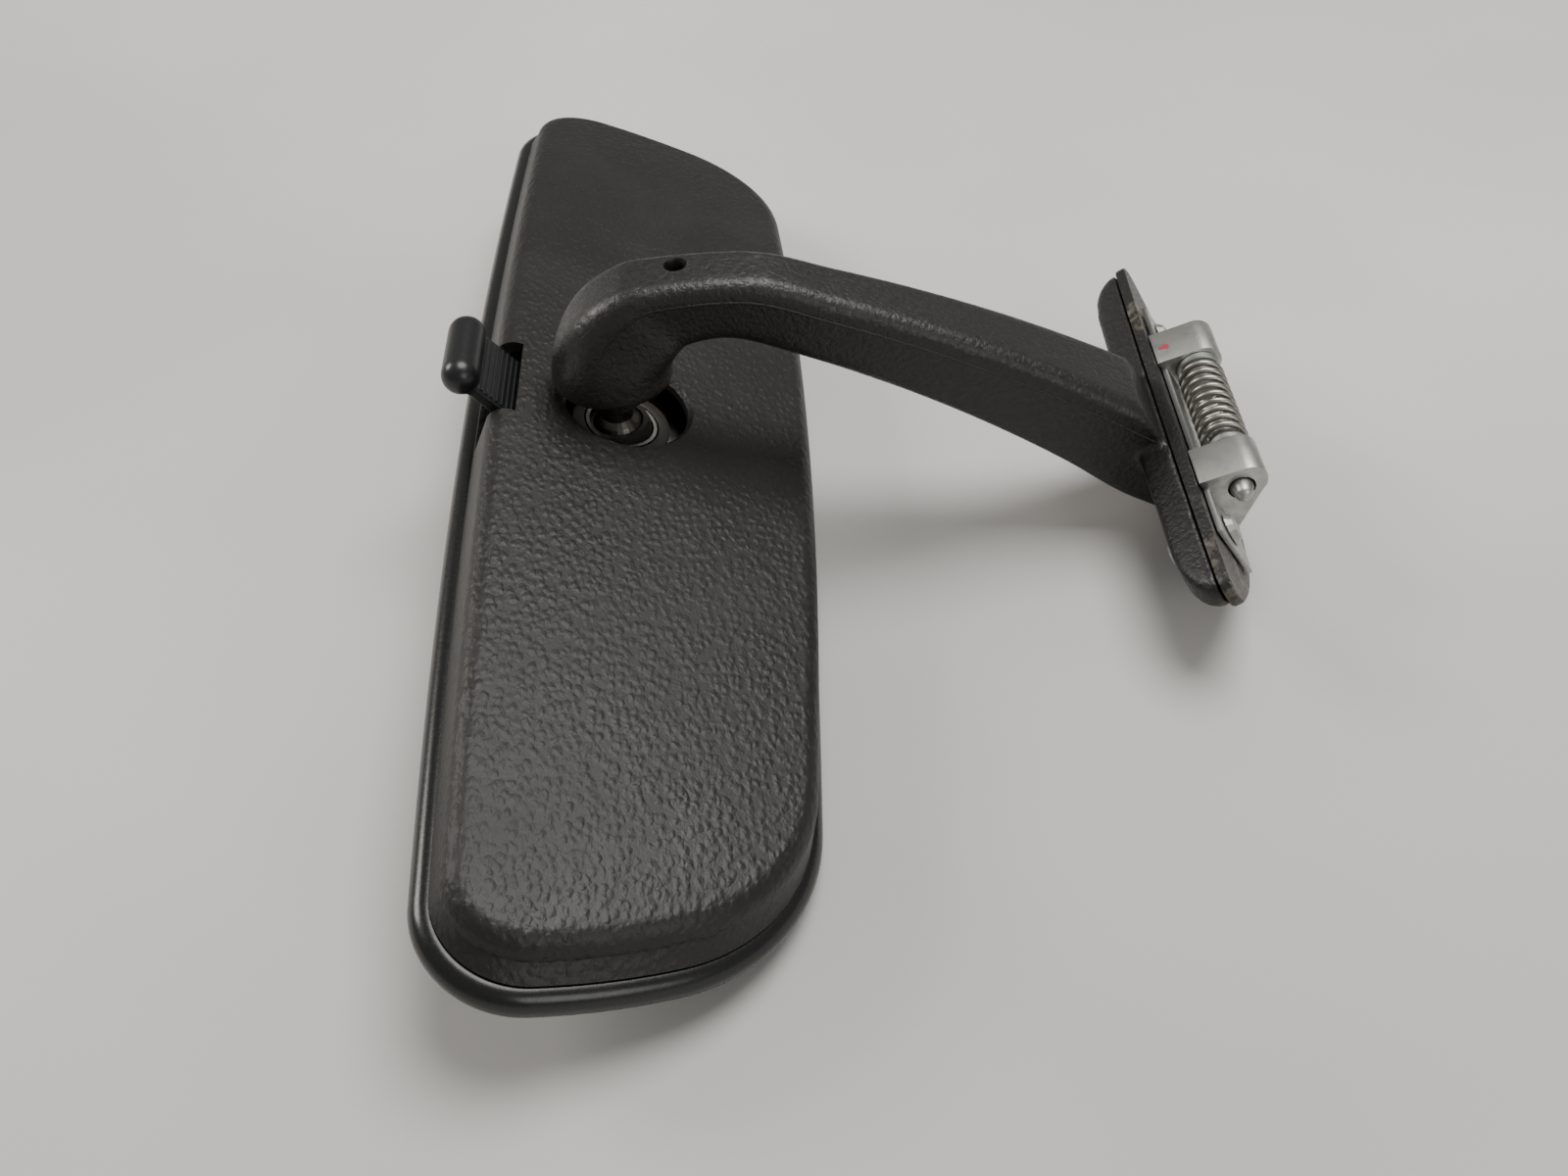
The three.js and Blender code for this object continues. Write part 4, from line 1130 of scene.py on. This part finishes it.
@dataclass
class Frames:
    """Where the sub-assemblies lie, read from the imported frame."""

    head: Matrix
    foot: Matrix
    ball: Vector

    @staticmethod
    def basis(x: Vector, y: Vector, z: Vector, origin: Vector) -> Matrix:
        """A frame in metres whose local unit is the millimetre."""
        m = Matrix((x * MM, y * MM, z * MM)).transposed().to_4x4()
        m.translation = origin
        return m

    @classmethod
    def read(cls, frame: dict, case: MirrorCase, foot: Foot, pins: Pins) -> "Frames":
        """Read the frames from the joints and the pin spring's box.

        Args:
            case: holds the ball's place in the head's frame.
            foot: holds how far the foot's face looks up.
            pins: holds the spring's place in the foot's frame.

        Returns:
            The frames.
        """
        joints = {j["name"]: j for j in frame["joints"]}
        back = Vector(joints["ball_roll"]["axis"]).normalized()
        across = Vector(joints["ball_pan"]["axis"]).normalized()
        along = across.cross(back)
        ball = Vector(joints["ball_pan"]["pos_m"])
        head_origin = ball - across * case.hole_y * MM - back * case.ball_z * MM
        face = Vector((cos(foot.lean), 0, sin(foot.lean)))
        up = face.cross(along)
        low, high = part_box("pin_spring")
        foot_origin = (low + high) / 2 - up * pins.y * MM - face * pins.z * MM
        return cls(
            cls.basis(along, across, back, head_origin), cls.basis(along, up, face, foot_origin), ball
        )


# ---------------- set


@dataclass
class Studio:
    """Plain pale floor, soft lights and the camera."""

    eye: tuple[float, float, float] = (-19.17, -230.9, 210.34)
    forward: tuple[float, float, float] = (0.0154, 0.7059, -0.7081)
    right: tuple[float, float, float] = (0.9989, -0.0418, -0.0199)
    lens_mm: float = 36.49

    def camera(self) -> None:
        """The camera's place and lens."""
        data = bpy.data.cameras.new("camera")
        data.sensor_width = 36
        data.lens = self.lens_mm
        data.clip_start = 0.01
        camera = linked("camera", data)
        forward = Vector(self.forward).normalized()
        right = Vector(self.right).normalized()
        up = right.cross(forward).normalized()
        turned = Matrix((right, up, -forward)).transposed().to_4x4()
        turned.translation = Vector(self.eye) * MM
        camera.matrix_world = turned
        bpy.context.scene.camera = camera

    def floor(self) -> None:
        """A wide pale floor with a faint mottle."""
        floor = new_object("floor", block((-3000, -3000, -20), (3000, 3000, 0)), Matrix.Scale(MM, 4))
        floor.data.materials.append(Mottled("pale_floor", color="d6d5d2", rough=0.7, mottle_mm=400).build())

    def light(self, name: str, place: Sequence[float], size: float, watts: float, color: str) -> None:
        """One soft area light aimed at the object."""
        data = bpy.data.lights.new(name, "AREA")
        data.shape = "DISK"
        data.size = size
        data.energy = watts
        data.color = srgb(color)[:3]
        lamp = linked(name, data)
        lamp.location = place
        lamp.rotation_mode = "QUATERNION"
        lamp.rotation_quaternion = (-Vector(place)).to_track_quat("-Z", "Y")

    def build(self) -> None:
        """Camera, floor, lights and sky."""
        self.camera()
        self.floor()
        self.light("sky", (0.25, 0.25, 1.2), 0.9, 17, "fffdf9")
        self.light("key", (-0.9, 0.35, 0.6), 0.45, 6, "fffaf2")
        self.light("front", (0.6, -0.9, 0.6), 0.6, 3, "fbfaf7")
        world = bpy.data.worlds.new("studio")
        world.use_nodes = True
        background = world.node_tree.nodes["Background"]
        background.inputs["Color"].default_value = srgb("e9e7e3")
        background.inputs["Strength"].default_value = 0.35
        bpy.context.scene.world = world


def dress_nodes(frame: dict, finishes: dict[str, Material]) -> None:
    """Give the CAD nodes that stay their real materials and rounded edges; the ball stud's steel carries
    painted shade.
    """
    slots = {s["node"]: s["material_slot"] for s in frame["record"]["subparts"]}
    rounded = {"pin_bracket": 0.45, "pivot_plate": 0.15, "socket_cup": 0.2}
    for name, node in frame["nodes"].items():
        if node.hide_render:
            continue
        if name in rounded:
            round_edges(node, rounded[name])
        shade(node, 34)
        # The ball stud gets steel darkened as painted shade for the inside of the ball hole.
        material = finishes["stud_steel_painted_shade"] if name == "ball_stud" else finishes[slots[name]]
        node.data.materials.clear()
        node.data.materials.append(material)


def main() -> None:
    """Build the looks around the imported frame."""
    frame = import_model()
    case, lever, foot, arm, pins = MirrorCase(HeadOutline()), Lever(), Foot(), Arm(), Pins()
    frames = Frames.read(frame, case, foot, pins)

    finishes = {
        "shell_plastic": GrainedPlastic("grained_abs").build(),
        "bezel_plastic": SmoothPlastic("bezel_polypropylene").build(),
        "lever_plastic": SmoothPlastic("lever_nylon", color="17181a", gloss=0.3).build(),
        "mirror_coating": SilveredGlass("silvered_glass").build(),
        "felt_pad": Mottled("felt", color="7a766c", rough=0.95).build(),
        "black_casting": CoatedCasting("lacquered_zinc_casting").build(),
        "zinc_plate": PlatedSteel("zinc_plated_steel").build(),
        "bare_steel": PlatedSteel("rolled_steel", color="8f9193", stain="6b675f").build(),
        "spring_steel": PlatedSteel("spring_steel", color="a3a29c", gloss=0.25, stained=0.35).build(),
        # The ball stud's steel: its dark colour and dark stain tone are painted shade for the inside of the
        # ball hole.
        "stud_steel_painted_shade": PlatedSteel("stud_steel_painted_shade", color="6a6762", stain="3f3a33", gloss=0.28).build(),
        # Acetal for the cup and seat in the ball hole: the dark brown-grey is painted shade for the inside
        # of the hole, not the acetal's own colour.
        "acetal": Mottled("acetal", color="3d3a35", rough=0.3).build(),
    }
    worn = CoatedCasting("worn_base_plate", bare="6b6459", wear=0.14).build()
    black, moulded = finishes["black_casting"], finishes["lever_plastic"]

    for build, slot, node in (
        (case.shell, "shell_plastic", "rear_housing"),
        (case.bezel, "bezel_plastic", "rim_bezel"),
        (case.glass, "mirror_coating", "mirror_glass"),
    ):
        finish_piece(build(frames.head), finishes[slot], Body.CASE, [node])
    finish_piece(lever.body(frames.head), moulded, Body.LEVER, ["day_night_lever"])
    ridges = lever.ridges(frames.head, ridge_form(), moulded)
    finish_piece(ridges, moulded, Body.LEVER)

    casting = arm.casting(frames.ball, foot, frames.foot)
    finish_piece(casting, black, Body.ARM, ["arm_casting"])
    for side in (-1, 1):
        line = arm.parting_line(frames.ball, foot, frames.foot, side)
        finish_piece(line, black, Body.ARM)
    finish_piece(foot.base_plate(frames.foot), worn, Body.ARM, ["base_plate"])
    red = Mottled("red_paint", color="a8404a").build()
    finish_piece(PaintDab().build(frames.foot), red, Body.ARM)
    coil, steel = coil_form(), finishes["spring_steel"]
    for side, body, node in ((-1, Body.NEAR_PIN, "spring_pin_near"), (1, Body.FAR_PIN, "spring_pin_far")):
        finish_piece(pins.pin(frames.foot, side), finishes["zinc_plate"], body, [node])
        spring = pins.spring(frames.foot, side, coil, steel)
        finish_piece(spring, steel, Body.ARM, ["pin_spring"])
        pins.keep()
        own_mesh(spring)
    dress_nodes(frame, finishes)

    Studio().build()


if __name__ == "__main__":
    main()
